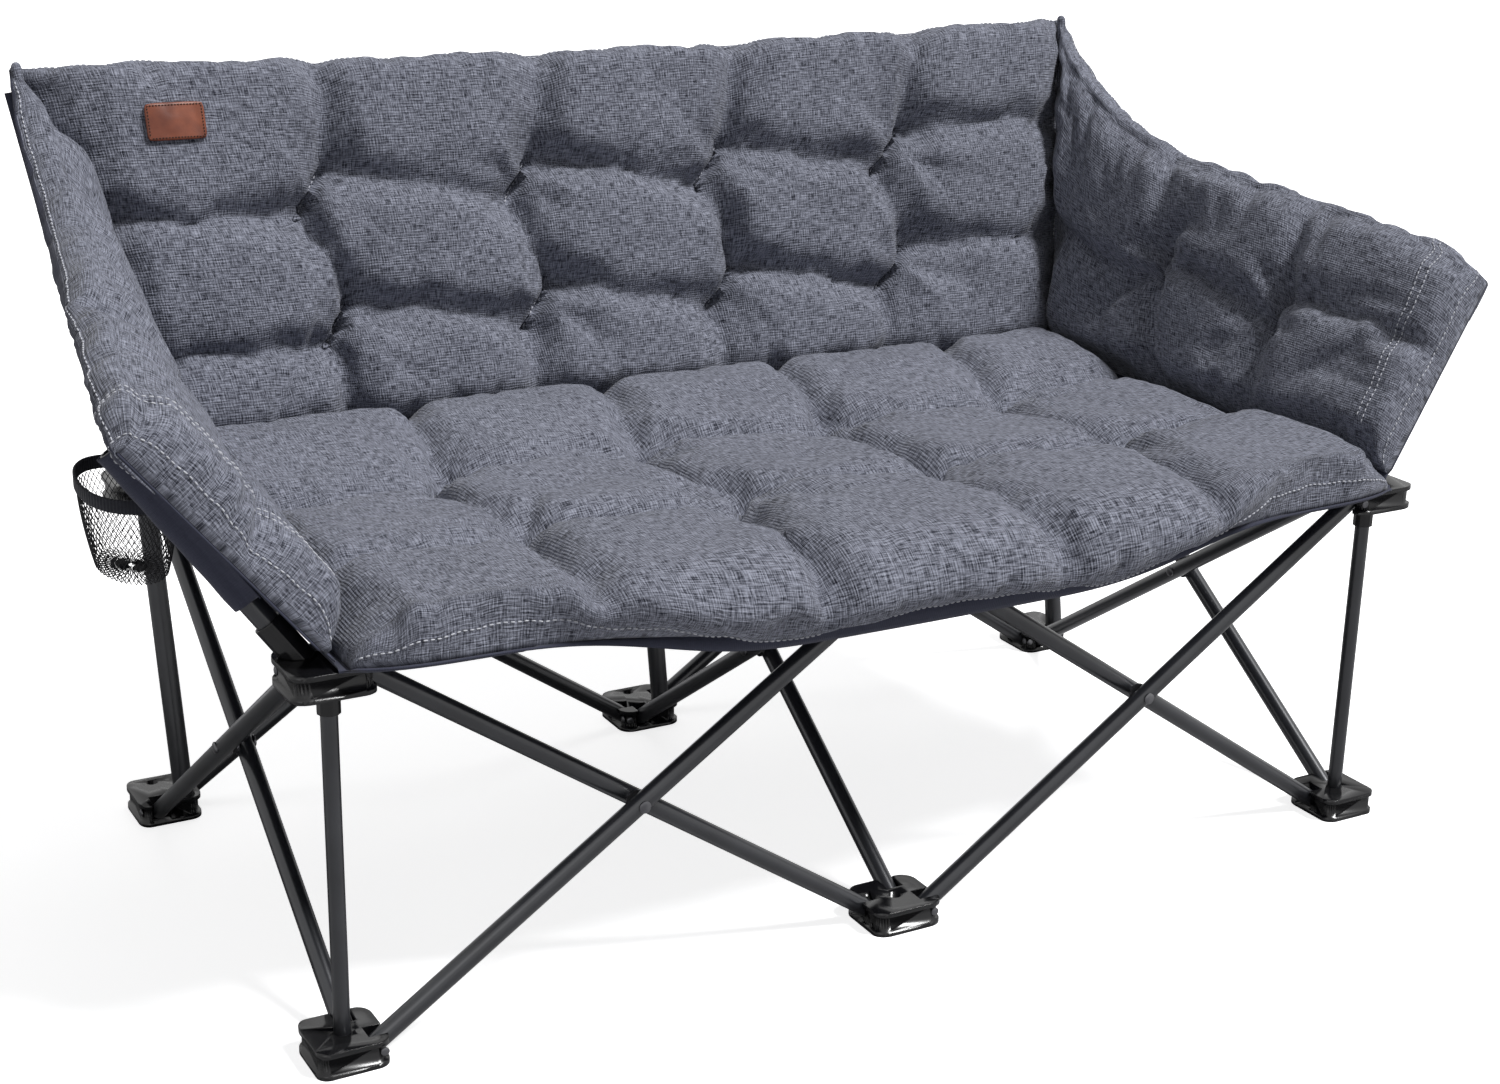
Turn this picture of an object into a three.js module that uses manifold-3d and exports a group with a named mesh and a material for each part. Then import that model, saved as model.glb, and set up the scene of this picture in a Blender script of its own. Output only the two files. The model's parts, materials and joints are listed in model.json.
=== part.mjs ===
// Folding camping loveseat: a box of crossed steel legs that gathers up, with a padded seat, back and arms.
// Millimetres, +Z up, the front edge of the seat towards -Y.
// Left and right are as seen from the front: left is -X, which is the sitter's right.
// The origin lies on the ground, under the middle of the object's outline.

import * as THREE from "three";
import { mergeVertices } from "three/addons/utils/BufferGeometryUtils.js";
import Module from "manifold-3d";

const wasm = await Module();
wasm.setup();

// Driving dimensions of the leg frame
const SEAT_HALF = 598; // half the width of the seat
const SEAT_INSET = 8; // ends of the seat inside the middle of the hubs
const BAY_WIDTH = SEAT_HALF + SEAT_INSET; // from one foot to the next along X
const FRAME_DEPTH = 598; // from a front foot to a rear foot
const PIN_INSET = { x: 30, y: 26 }; // leg pins from the middle of their foot or hub
const HUB_HEIGHT = 385; // ground to the leg pins in the hubs
const FOOT_PIN_HEIGHT = 15; // ground to the leg pins in the feet
const LEG_DIAMETER = 19;
const LEG_WALL = 1.2;
const LEG_OVERHANG = 5.5; // tube past its end pins
const LEG_SPACER = 1.4; // washer between two crossing legs
const FIT_GAP = 0.3; // between pieces that seat on each other
const RUNNING_GAP = 0.4; // round pins and beside legs that turn
const WELD_DISTANCE = 1e-4; // corners this close are one corner

// Feet and hubs, moulded blocks with a top and a bottom flange
const BLOCK_WIDTH = 92;
const BLOCK_DEPTH = 88;
const BLOCK_CORNER = 22;
const FOOT_THICKNESS = 27;
const HUB_THICKNESS = 26;
const FLANGE_THICKNESS = 5;
const WEB_INSET = 5;
const PIN_DIAMETER = 6;
const PIN_SEAT = 4; // pin length held in each cheek of a slot
const RIVET_HEAD_DIAMETER = 12;
const RIVET_HEAD_THICKNESS = 2;
const LIGHTENING_HOLE = 14;
const REAR_HOLE = { x: -5, y: 24 }; // from the middle of a rear foot

// Struts between feet and hubs, poles behind the back, bows in the arms
const STRUT_DIAMETER = 16;
const REAR_STRUT_DIAMETER = 22;
const STRUT_WALL = 1.2;
const STRUT_SEAT = 14; // depth of a strut in its foot
const REAR_STRUT_FOOT = { x: 20, y: -20 }; // from the middle of the foot
const REAR_STRUT_HUB = { x: 10, y: 28 }; // from the middle of the hub
const CAP_DIAMETER = 22;
const REAR_CAP_DIAMETER = 27;
const CAP_LENGTH = 24;
const CAP_ROOF = 4;
const POLE_DIAMETER = 22;
const POLE_WALL = 1.4;
const POLE_SEAT = 17; // depth of a pole in its hub
const POLE_SETBACK = 26; // from the middle of the hub
const POLE_INSET = 20; // top of an outer pole inside the corner of the back
const BACK_LEAN = 17; // degrees from upright
const BOW_DIAMETER = 22;
const BOW_CLEARANCE = 1; // between the socket of a bow and the cloth
const SOCKET_DIAMETER = 28;
const SOCKET_LENGTH = 40;
const SOCKET_FLOOR = 10;

// Padding and cloth
const CLOTH = 2.4;
const SEAM = 7;
const SEAT_LOFT = 58;
const BACK_LOFT = 62;
const ARM_LOFT = 52;
const BACK_TOP_HEIGHT = 822; // at the corners
const BACK_TOP_SAG = 12; // of the top edge between them
const BACK_FLARE = 76; // top corners of the back past the middle of the hubs
const BACK_TOP_HALF = BAY_WIDTH + BACK_FLARE;
const BACK_FOOT_RISE = 8; // bottom of the back above the hub tops
const VALLEY_WIDTH = 42; // from the bottom of a valley to its shoulder
const PAD_CLEARANCE = 3; // between the seams of the seat and the back
const ARM_CLEARANCE = 12; // between the seams of the back and an arm
const SEAT_SAG = 18;
const SEAT_LEVEL = 62; // cloth that stays level inside the hubs
const SEAT_OVERHANG = 4; // seat cloth past the front of the hubs
const LIP_REACH = 12;
const LIP_DROP = 26;
const CORNER_SETBACK = 20; // front corners of the seat behind its front edge
const ARM_OUTSET = 8; // bottom of an arm past the middle of the hubs
const ARM_FOOT_RISE = 14; // bottom of an arm above the hub tops
const ARM_OVERHANG = 23; // bottom of an arm past the middle of the front hubs
const ARM_TIP = { flare: 89, setback: 15, z: 604 }; // from the corner of the back, and behind the front hubs
const ARM_SWEEP = { setback: 49, z: 620 }; // how the top edge of an arm leaves the back, from the rear hubs
const ARM_REACH = { setback: 249, z: 680 }; // how it comes to the tip
const SLEEVE_THICKNESS = 2.4;
const SLEEVE_HEM = 70; // bare tube under each sleeve
const TUBE_END = 24; // tube ends below the top edge of the cloth
const PATCH = { width: 64, height: 40, thickness: 2 };
const POCKET = { depth: 88, length: 168, height: 78, wall: 1.6, rim: 12, rimWall: 3.4 };
const POCKET_RIM_RISE = 80; // above the hub tops

const SIDES = { leg: 8, pin: 6, head: 8, hole: 12, round: 12, ring: 16, corner: 3 };
const PATCH_CELLS = { across: 4, up: 2 };
const BACK_PANEL_CELLS = 6;
const SIDE_STEPS = 24; // chords along a side when its length is measured
const CUT = 60; // overrun of every cut past the solid it cuts

// Shares
const CORNER_POWER = 16; // how late the front edge of the seat draws back to its corners
const LIP_LEVEL_SHARES = [0.25, 0.9]; // where the turned-down edge starts to level out, and is level
const LIP_SHARE = 0.11; // of the seat's depth
const SHARE_STEP = 1e-3; // apart, for the slope of a surface
const CREASE_SHARE = 0.3; // of the loft, along the valleys between tufts
const TUFT_SHARE = 0.36; // of the loft, further down at each tuft
const TUFT_SHARES = {
  seat: { across: [0.2, 0.4, 0.6, 0.8], up: [0.36, 0.68] },
  back: { across: [0.212, 0.404, 0.596, 0.788], up: [0.31, 0.655] },
  arm: { across: [0.4, 0.7], up: [0.51] },
};
const PRESSED_POWER = 1.35; // how round a pad is where it leans on its neighbour
const FREE_POWER = 2.4; // and where its edge is free
const EDGE_SHARES = {
  seat: { across: [0.05, 0.05], up: [0.06, 0.074] },
  back: { across: [0.061, 0.061], up: [0.12, 0.11] },
  arm: { across: [0.095, 0.06], up: [0.16, 0.16] },
};
const EDGE_POWERS = {
  seat: { across: [PRESSED_POWER, PRESSED_POWER], up: [FREE_POWER, PRESSED_POWER] },
  back: { across: [PRESSED_POWER, PRESSED_POWER], up: [PRESSED_POWER, FREE_POWER] },
  arm: { across: [PRESSED_POWER, FREE_POWER], up: [PRESSED_POWER, FREE_POWER] },
};
const PATCH_PLACE_SHARES = [0.105, 0.84];
const BOW_STATION_SHARE = 0.93;
const POCKET_STATION_SHARE = 0.53;
const POCKET_BELLY_SHARE = 0.96;
const POCKET_TAPER_SHARE = 0.72;

const legOffset = (LEG_DIAMETER + LEG_SPACER) / 2;
const hubTop = HUB_HEIGHT + HUB_THICKNESS / 2;
const hubBottom = HUB_HEIGHT - HUB_THICKNESS / 2;
const columns = { left: -BAY_WIDTH, center: 0, right: BAY_WIDTH };
const rows = { front: -FRAME_DEPTH / 2, rear: FRAME_DEPTH / 2 };

const colour = (hex, roughness, metalness) =>
  new THREE.MeshStandardMaterial({ color: hex, roughness, metalness });
const finishes = {
  steel: colour(0x2b2d31, 0.42, 0.6),
  plastic: colour(0x0c0d0f, 0.28, 0),
  heather: colour(0x646878, 0.95, 0),
  plain: colour(0x3c3e4b, 0.85, 0),
  leather: colour(0x7a3a20, 0.55, 0),
  net: colour(0x1c1d22, 0.8, 0),
};

const unit = { x: new THREE.Vector3(1, 0, 0), y: new THREE.Vector3(0, 1, 0), z: new THREE.Vector3(0, 0, 1) };

const loveseat = new THREE.Group();

function add(name, geometry, material) {
  const mesh = new THREE.Mesh(geometry, material);
  mesh.name = name;
  loveseat.add(mesh);
  return mesh;
}

// Solids and cuts

function solid(geometry) {
  const bare = geometry.clone();
  for (const name of Object.keys(bare.attributes)) {
    if (name !== "position") bare.deleteAttribute(name);
  }
  const merged = mergeVertices(bare, WELD_DISTANCE);
  return new wasm.Manifold(
    new wasm.Mesh({
      numProp: 3,
      vertProperties: new Float32Array(merged.attributes.position.array),
      triVerts: new Uint32Array(merged.index.array),
    }),
  );
}

function geometryOf(body) {
  const mesh = body.getMesh();
  const geometry = new THREE.BufferGeometry();
  const positions = new Float32Array(mesh.vertProperties);
  geometry.setAttribute("position", new THREE.BufferAttribute(positions, mesh.numProp));
  geometry.setIndex(Array.from(mesh.triVerts));
  geometry.computeVertexNormals();
  return geometry;
}

const joined = (bodies) => bodies.reduce((whole, body) => whole.add(body));
const cut = (body, tools) => tools.reduce((rest, tool) => rest.subtract(tool), body);

function box(width, depth, height, x, y, z) {
  const geometry = new THREE.BoxGeometry(width, depth, height);
  geometry.translate(x, y, z);
  return solid(geometry);
}

// A round bar from a to b
function bar(a, b, diameter, sides = SIDES.round) {
  const span = new THREE.Vector3().subVectors(b, a);
  const geometry = new THREE.CylinderGeometry(diameter / 2, diameter / 2, span.length(), sides);
  const turn = new THREE.Quaternion().setFromUnitVectors(unit.y, span.clone().normalize());
  geometry.applyQuaternion(turn);
  const middle = new THREE.Vector3().addVectors(a, b).multiplyScalar(0.5);
  geometry.translate(middle.x, middle.y, middle.z);
  return solid(geometry);
}

// A round bar through a point, along a unit direction, from one reach to the other
function barAlong(point, direction, from, to, diameter, sides) {
  const a = point.clone().addScaledVector(direction, from);
  const b = point.clone().addScaledVector(direction, to);
  return bar(a, b, diameter, sides);
}

// The faceted hole that leaves the asked width clear all round
const holeOver = (width, sides) => width / Math.cos(Math.PI / sides);

function pipe(a, b, diameter, wall, sides = SIDES.round) {
  const along = new THREE.Vector3().subVectors(b, a).normalize();
  const from = a.clone().addScaledVector(along, -CUT);
  const to = b.clone().addScaledVector(along, CUT);
  return bar(a, b, diameter, sides).subtract(bar(from, to, diameter - 2 * wall, sides));
}

// Crossed legs
// A pair of legs crosses at its middle: the first carries the rivet, and the second turns on it.

function legTube(foot, hub, axis) {
  const along = new THREE.Vector3().subVectors(hub, foot).normalize();
  const a = foot.clone().addScaledVector(along, -LEG_OVERHANG);
  const b = hub.clone().addScaledVector(along, LEG_OVERHANG);
  const hole = holeOver(PIN_DIAMETER + 2 * RUNNING_GAP, SIDES.pin);
  const holes = [foot, hub].map((pin) => barAlong(pin, axis, -CUT, CUT, hole, SIDES.pin));
  return cut(pipe(a, b, LEG_DIAMETER, LEG_WALL, SIDES.leg), holes);
}

// The rivet fills its own leg, spaces the two apart and ends in a head outside the other
function rivetThrough(middle, axis, side) {
  const reach = LEG_DIAMETER / 2;
  const way = axis.clone().multiplyScalar(side);
  const near = -reach - RIVET_HEAD_THICKNESS;
  const far = reach + LEG_SPACER + LEG_DIAMETER + RUNNING_GAP;
  const end = far + RIVET_HEAD_THICKNESS;
  const head = (from, to) => barAlong(middle, way, from, to, RIVET_HEAD_DIAMETER, SIDES.head);
  return joined([
    barAlong(middle, way, near, end, PIN_DIAMETER, SIDES.pin),
    head(near, -reach + LEG_WALL),
    head(reach - LEG_WALL, reach + LEG_SPACER - FIT_GAP),
    head(far, end),
  ]);
}

// A pair joins the feet and hubs at "start" and "end", and "held" is its place along its axis
function legPair(names, axisName, start, end, held) {
  const runName = axisName === "x" ? "y" : "x";
  const axis = unit[axisName];
  const inset = PIN_INSET[runName];
  const place = (side, along, height) => {
    const point = new THREE.Vector3(0, 0, height);
    point[axisName] = held + side * legOffset;
    point[runName] = along;
    return point;
  };
  const low = start + inset;
  const high = end - inset;
  const side = names.firstSide;
  const leg = (own, from, to) => {
    const foot = place(own, from, FOOT_PIN_HEIGHT);
    const hub = place(own, to, HUB_HEIGHT);
    const middle = foot.clone().add(hub).multiplyScalar(1 / 2);
    return { tube: legTube(foot, hub, axis), middle };
  };
  const first = leg(side, low, high);
  const second = leg(-side, high, low);
  const holeDiameter = holeOver(PIN_DIAMETER + 2 * RUNNING_GAP, SIDES.pin);
  const reach = LEG_DIAMETER;
  const hole = barAlong(second.middle, axis, -reach, reach, holeDiameter, SIDES.pin);
  add(names.first, geometryOf(first.tube.add(rivetThrough(first.middle, axis, -side))), finishes.steel);
  add(names.second, geometryOf(second.tube.subtract(hole)), finishes.steel);
}

function crossedLegs() {
  for (const [column, x] of Object.entries(columns)) {
    const names = {
      first: `side_leg_${column}_from_front`,
      second: `side_leg_${column}_from_rear`,
      firstSide: 1,
    };
    legPair(names, "x", rows.front, rows.rear, x);
  }
  for (const [row, y] of Object.entries(rows)) {
    const firstSide = row === "front" ? -1 : 1;
    for (const bay of ["left", "right"]) {
      const [start, end] = bay === "left" ? [-BAY_WIDTH, 0] : [0, BAY_WIDTH];
      const names = {
        first: `${row}_leg_${bay}_bay_rising_right`,
        second: `${row}_leg_${bay}_bay_rising_left`,
        firstSide,
      };
      legPair(names, "y", start, end, y);
    }
  }
}

// Feet and hubs

function roundedOutline(width, depth, corner) {
  const [w, d] = [width / 2, depth / 2];
  const shape = new THREE.Shape();
  shape.moveTo(-w + corner, -d);
  shape.lineTo(w - corner, -d);
  shape.absarc(w - corner, -d + corner, corner, -Math.PI / 2, 0);
  shape.lineTo(w, d - corner);
  shape.absarc(w - corner, d - corner, corner, 0, Math.PI / 2);
  shape.lineTo(-w + corner, d);
  shape.absarc(-w + corner, d - corner, corner, Math.PI / 2, Math.PI);
  shape.lineTo(-w, -d + corner);
  shape.absarc(-w + corner, -d + corner, corner, Math.PI, 1.5 * Math.PI);
  return shape;
}

function slab(width, depth, corner, low, high) {
  const geometry = new THREE.ExtrudeGeometry(roundedOutline(width, depth, corner), {
    depth: high - low,
    bevelEnabled: false,
    curveSegments: SIDES.corner,
  });
  geometry.translate(0, 0, low);
  return solid(geometry);
}

// The outline of a block: two flanges over an inset web
function blockBody(thickness) {
  const width = BLOCK_WIDTH;
  const webWidth = width - 2 * WEB_INSET;
  const webDepth = BLOCK_DEPTH - 2 * WEB_INSET;
  const web = slab(webWidth, webDepth, BLOCK_CORNER - WEB_INSET, 0, thickness);
  const lower = slab(width, BLOCK_DEPTH, BLOCK_CORNER, 0, FLANGE_THICKNESS);
  const upper = slab(width, BLOCK_DEPTH, BLOCK_CORNER, thickness - FLANGE_THICKNESS, thickness);
  return joined([web, lower, upper]);
}

// A slot is open outwards and, with "up" 1, upwards or, with "up" -1, downwards.
// The leg turns in it on a pin between its cheeks.
function slotAndPin(socket, pinHeight, up) {
  const width = LEG_DIAMETER + 2 * RUNNING_GAP;
  const inner = Math.hypot(LEG_OVERHANG, LEG_DIAMETER / 2) + RUNNING_GAP;
  const crossName = socket.run === "x" ? "y" : "x";
  const pin = new THREE.Vector3(0, 0, pinHeight);
  pin[socket.run] = socket.way * PIN_INSET[socket.run];
  pin[crossName] = socket.side * legOffset;
  const reach = inner + CUT;
  const centre = pin.clone();
  centre[socket.run] += (socket.way * (CUT - inner)) / 2;
  centre.z += (up * (CUT - inner)) / 2;
  const size = new THREE.Vector3(reach, reach, reach);
  size[crossName] = width;
  const slot = box(size.x, size.y, size.z, centre.x, centre.y, centre.z);
  const half = width / 2 + PIN_SEAT;
  return { slot, pin: barAlong(pin, unit[crossName], -half, half, PIN_DIAMETER, SIDES.pin) };
}

// Which legs end in each foot and hub, by the way they leave it and the side they lie on
function socketsOf(column, row, isHub) {
  const inward = row === "front" ? 1 : -1;
  const firstSide = row === "front" ? -1 : 1;
  const sockets = [{ run: "y", way: inward, side: (row === "front") === isHub ? -1 : 1 }];
  if (column !== "right") sockets.push({ run: "x", way: 1, side: isHub ? -firstSide : firstSide });
  if (column !== "left") sockets.push({ run: "x", way: -1, side: isHub ? firstSide : -firstSide });
  return sockets;
}

function mouldedBlock(column, row, isHub) {
  const thickness = isHub ? HUB_THICKNESS : FOOT_THICKNESS;
  const pinHeight = isHub ? HUB_THICKNESS / 2 : FOOT_PIN_HEIGHT;
  const parts = socketsOf(column, row, isHub).map((socket) => slotAndPin(socket, pinHeight, isHub ? -1 : 1));
  const body = cut(blockBody(thickness), parts.map((part) => part.slot));
  const whole = joined([body, ...parts.map((part) => part.pin)]);
  return whole.translate([columns[column], rows[row], isHub ? hubBottom : 0]);
}

// Struts

const CENTRED = { x: 0, y: 0 };
const at = (column, row, offset, height) =>
  new THREE.Vector3(columns[column] + offset.x, rows[row] + offset.y, height);
const hasStrut = (column, row) => row === "rear" || column !== "center";

// Where each strut stands in its foot and meets its hub
function strutLine(column, row) {
  const rear = row === "rear";
  const foot = at(column, row, rear ? REAR_STRUT_FOOT : CENTRED, FOOT_THICKNESS - STRUT_SEAT);
  const hub = at(column, row, rear ? REAR_STRUT_HUB : CENTRED, hubBottom);
  const along = new THREE.Vector3().subVectors(hub, foot).normalize();
  const diameter = rear ? REAR_STRUT_DIAMETER : STRUT_DIAMETER;
  const capDiameter = rear ? REAR_CAP_DIAMETER : CAP_DIAMETER;
  return { foot, hub, along, diameter, capDiameter };
}

function strutHole(column, row) {
  const { foot, along, diameter } = strutLine(column, row);
  return barAlong(foot, along, 0, CUT, diameter + 2 * FIT_GAP, SIDES.round);
}

function clipAbove(body, height, point) {
  return body.subtract(box(CUT, CUT, CUT, point.x, point.y, height + CUT / 2));
}

// A strut stands in a hole of its foot, and its cap meets the hub when the frame is open
function strut(column, row) {
  const { foot, hub, along, diameter, capDiameter } = strutLine(column, row);
  const roof = hub.clone().addScaledVector(along, -CAP_ROOF);
  const tube = pipe(
    foot.clone().addScaledVector(along, FIT_GAP),
    roof.clone().addScaledVector(along, -FIT_GAP),
    diameter,
    STRUT_WALL,
  );
  const sleeve = clipAbove(
    barAlong(hub, along, -CAP_LENGTH, capDiameter / 2, capDiameter),
    hubBottom - FIT_GAP,
    hub,
  );
  add(`strut_${row}_${column}`, geometryOf(tube), finishes.steel);
  const cap = sleeve.subtract(bar(foot, roof, diameter + 2 * FIT_GAP));
  add(`strut_cap_${row}_${column}`, geometryOf(cap), finishes.plastic);
}

// Surfaces of the cloth
// Each maps two shares, from 0 to 1, to a point. The padding stands on the side that faces the sitter.

const backSlope = Math.tan(THREE.MathUtils.degToRad(BACK_LEAN));
const backCosine = Math.cos(THREE.MathUtils.degToRad(BACK_LEAN));
const tubeStandoff = (diameter) => diameter / 2 + SLEEVE_THICKNESS + 2 * FIT_GAP + CLOTH;
const poleDepth = (height) => rows.rear + POLE_SETBACK + backSlope * (height - hubTop);
const backDepth = (height) => poleDepth(height) - tubeStandoff(POLE_DIAMETER) / backCosine;
const lerp = THREE.MathUtils.lerp;

function backSurface(across, up) {
  const top = BACK_TOP_HEIGHT - BACK_TOP_SAG * (1 - (2 * across - 1) ** 2);
  const height = lerp(hubTop + BACK_FOOT_RISE, top, up);
  const half = lerp(BAY_WIDTH + POLE_DIAMETER / 2, BACK_TOP_HALF, up);
  return new THREE.Vector3(lerp(-half, half, across), backDepth(height), height);
}

// The seat cloth lies over the hubs, hangs between them and turns down at the front
function seatSurface(across, back) {
  const x = lerp(-SEAT_HALF, SEAT_HALF, across);
  const share = Math.abs(2 * across - 1);
  const corner = share ** CORNER_POWER;
  const level = THREE.MathUtils.smoothstep(share, ...LIP_LEVEL_SHARES);
  const front = rows.front - BLOCK_DEPTH / 2 - SEAT_OVERHANG;
  const rear = backDepth(hubTop) - SEAM - PAD_CLEARANCE;
  const flat = Math.max(0, (back - LIP_SHARE) / (1 - LIP_SHARE));
  const lip = Math.max(0, 1 - back / LIP_SHARE);
  const turn = (Math.PI / 2) * lip * (1 - level);
  const forward = LIP_REACH * lerp(Math.sin(turn), lip, level);
  const y = lerp(front, rear, flat) - forward + CORNER_SETBACK * corner * (1 - flat);
  const hang = Math.max(0, 1 - (y / (-rows.front - BLOCK_DEPTH / 2 - SEAT_LEVEL)) ** 2);
  const drop = SEAT_SAG * hang + LIP_DROP * (1 - Math.cos(turn));
  return new THREE.Vector3(x, y, hubTop + FIT_GAP + CLOTH - drop);
}

// The right arm; the left one is its mirror image
const armRear = (height) => backDepth(height) - SEAM - ARM_CLEARANCE;
const armLow = hubTop + ARM_FOOT_RISE;
const armTop = new THREE.CubicBezierCurve3(
  new THREE.Vector3(BACK_TOP_HALF, armRear(BACK_TOP_HEIGHT), BACK_TOP_HEIGHT),
  new THREE.Vector3(BACK_TOP_HALF, rows.rear - ARM_SWEEP.setback, ARM_SWEEP.z),
  new THREE.Vector3(BACK_TOP_HALF + ARM_TIP.flare / 2, rows.rear - ARM_REACH.setback, ARM_REACH.z),
  new THREE.Vector3(BACK_TOP_HALF + ARM_TIP.flare, rows.front + ARM_TIP.setback, ARM_TIP.z),
);

function armSurface(forward, up) {
  const y = lerp(armRear(armLow), rows.front - ARM_OVERHANG, forward);
  const low = new THREE.Vector3(BAY_WIDTH + ARM_OUTSET, y, armLow);
  return low.lerp(armTop.getPoint(forward), up);
}

const evenShares = (count) => Array.from({ length: count + 1 }, (_, i) => i / count);
const mirroredShares = (shares) => [...shares, ...shares.slice(0, -1).reverse().map((share) => 1 - share)];

function normalOf(surface, u, v) {
  const step = SHARE_STEP;
  const [u0, u1] = [Math.max(0, u - step), Math.min(1, u + step)];
  const [v0, v1] = [Math.max(0, v - step), Math.min(1, v + step)];
  const du = surface(u1, v).sub(surface(u0, v));
  const dv = surface(u, v1).sub(surface(u, v0));
  return du.cross(dv).normalize();
}

// A closed skin between two offsets from a surface, on the grid of the given shares
function layer(surface, grid, under, over) {
  const positions = [];
  for (const offset of [over, under]) {
    for (const v of grid.up) {
      for (const u of grid.across) {
        const point = surface(u, v).addScaledVector(normalOf(surface, u, v), offset(u, v));
        positions.push(point.x, point.y, point.z);
      }
    }
  }
  const [columnCount, rowCount] = [grid.across.length - 1, grid.up.length - 1];
  const width = columnCount + 1;
  const backStart = width * (rowCount + 1);
  const faces = [];
  const quad = (a, b, c, d) => faces.push(a, b, c, a, c, d);
  for (let j = 0; j < rowCount; j++) {
    for (let i = 0; i < columnCount; i++) {
      const a = j * width + i;
      quad(a, a + 1, a + width + 1, a + width);
      const b = backStart + a;
      quad(b, b + width, b + width + 1, b + 1);
    }
  }
  const wall = (a, b) => quad(backStart + a, backStart + b, b, a);
  for (let i = 0; i < columnCount; i++) {
    wall(i, i + 1);
    wall(rowCount * width + i + 1, rowCount * width + i);
  }
  for (let j = 0; j < rowCount; j++) {
    wall((j + 1) * width, j * width);
    wall(j * width + columnCount, (j + 1) * width + columnCount);
  }
  const geometry = new THREE.BufferGeometry();
  geometry.setAttribute("position", new THREE.Float32BufferAttribute(positions, 3));
  geometry.setIndex(faces);
  geometry.computeVertexNormals();
  return geometry;
}

function mirrored(geometry) {
  const copy = geometry.clone();
  copy.scale(-1, 1, 1);
  const index = copy.index.array;
  for (let i = 0; i < index.length; i += 3) {
    [index[i], index[i + 1]] = [index[i + 1], index[i]];
  }
  copy.computeVertexNormals();
  return copy;
}

// Padding
// A pad rises from its seam, swells into pillows and is drawn in where it is tufted

function sideLengths(surface) {
  const steps = evenShares(SIDE_STEPS);
  const length = (place) => {
    const points = steps.map(place);
    return points.slice(1).reduce((sum, point, i) => sum + point.distanceTo(points[i]), 0);
  };
  return { across: length((t) => surface(t, 1 / 2)), up: length((t) => surface(1 / 2, t)) };
}

// From 0 at both edges to 1 inside them
function rise(share, edges, powers) {
  const [low, high] = [share, 1 - share].map((distance, i) => {
    const outside = Math.max(0, 1 - distance / edges[i]);
    return 1 - outside ** powers[i];
  });
  return low * high;
}

// From 1 on the line of a tuft to 0 between the lines
function valley(share, places, width) {
  const nearest = Math.min(...places.map((place) => Math.abs(share - place)));
  return Math.exp(-((nearest / width) ** 2));
}

function loft(pad) {
  const { full, tufts, edges, powers } = pad;
  const lengths = sideLengths(pad.surface);
  return (u, v) => {
    const inside = rise(u, edges.across, powers.across) * rise(v, edges.up, powers.up);
    const across = valley(u, tufts.across, VALLEY_WIDTH / lengths.across);
    const up = valley(v, tufts.up, VALLEY_WIDTH / lengths.up);
    const drawn = CREASE_SHARE * Math.max(across, up) + TUFT_SHARE * across * up;
    return SEAM + (full - SEAM) * inside * (1 - drawn);
  };
}

// Grid lines lie on the tufts, on the shoulders beside them, on the crowns and on the edges
const pads = {
  seat: {
    surface: seatSurface,
    full: SEAT_LOFT,
    tufts: TUFT_SHARES.seat,
    edges: EDGE_SHARES.seat,
    powers: EDGE_POWERS.seat,
    grid: {
      across: mirroredShares([0, 0.02, 0.05, 0.12, 0.2, 0.24, 0.3, 0.36, 0.4, 0.44, 0.5]),
      up: [0, 0.02, 0.06, LIP_SHARE, 0.2, 0.29, 0.36, 0.43, 0.52, 0.61, 0.68, 0.8, 0.926, 0.97, 1],
    },
  },
  back: {
    surface: backSurface,
    full: BACK_LOFT,
    tufts: TUFT_SHARES.back,
    edges: EDGE_SHARES.back,
    powers: EDGE_POWERS.back,
    grid: {
      across: mirroredShares([0, 0.025, 0.061, 0.14, 0.212, 0.252, 0.308, 0.364, 0.404, 0.444, 0.5]),
      up: [0, 0.05, 0.12, 0.2, 0.31, 0.41, 0.483, 0.555, 0.655, 0.76, 0.89, 0.97, 1],
    },
  },
  arm: {
    surface: armSurface,
    full: ARM_LOFT,
    tufts: TUFT_SHARES.arm,
    edges: EDGE_SHARES.arm,
    powers: EDGE_POWERS.arm,
    grid: {
      across: [0, 0.04, 0.095, 0.33, 0.4, 0.47, 0.55, 0.63, 0.7, 0.78, 0.87, 0.94, 0.98, 1],
      up: [0, 0.07, 0.16, 0.35, 0.51, 0.67, 0.84, 0.95, 1],
    },
  },
};

const offsetBy = (distance) => () => distance;

function padded(name, pad, flip) {
  const cushion = layer(pad.surface, pad.grid, offsetBy(FIT_GAP), loft(pad));
  add(name, flip ? mirrored(cushion) : cushion, finishes.heather);
}

function sheet(name, surface, grid, flip) {
  const cloth = layer(surface, grid, offsetBy(-CLOTH), offsetBy(0));
  add(name, flip ? mirrored(cloth) : cloth, finishes.plain);
}

function cushions() {
  padded("seat_cushion", pads.seat, false);
  sheet("seat_sling", seatSurface, pads.seat.grid, false);
  padded("back_cushion", pads.back, false);
  sheet("back_panel", backSurface, { across: evenShares(BACK_PANEL_CELLS), up: [0, 1] }, false);
  for (const side of ["left", "right"]) {
    padded(`arm_cushion_${side}`, pads.arm, side === "left");
    sheet(`arm_panel_${side}`, armSurface, pads.arm.grid, side === "left");
  }
}

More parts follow.
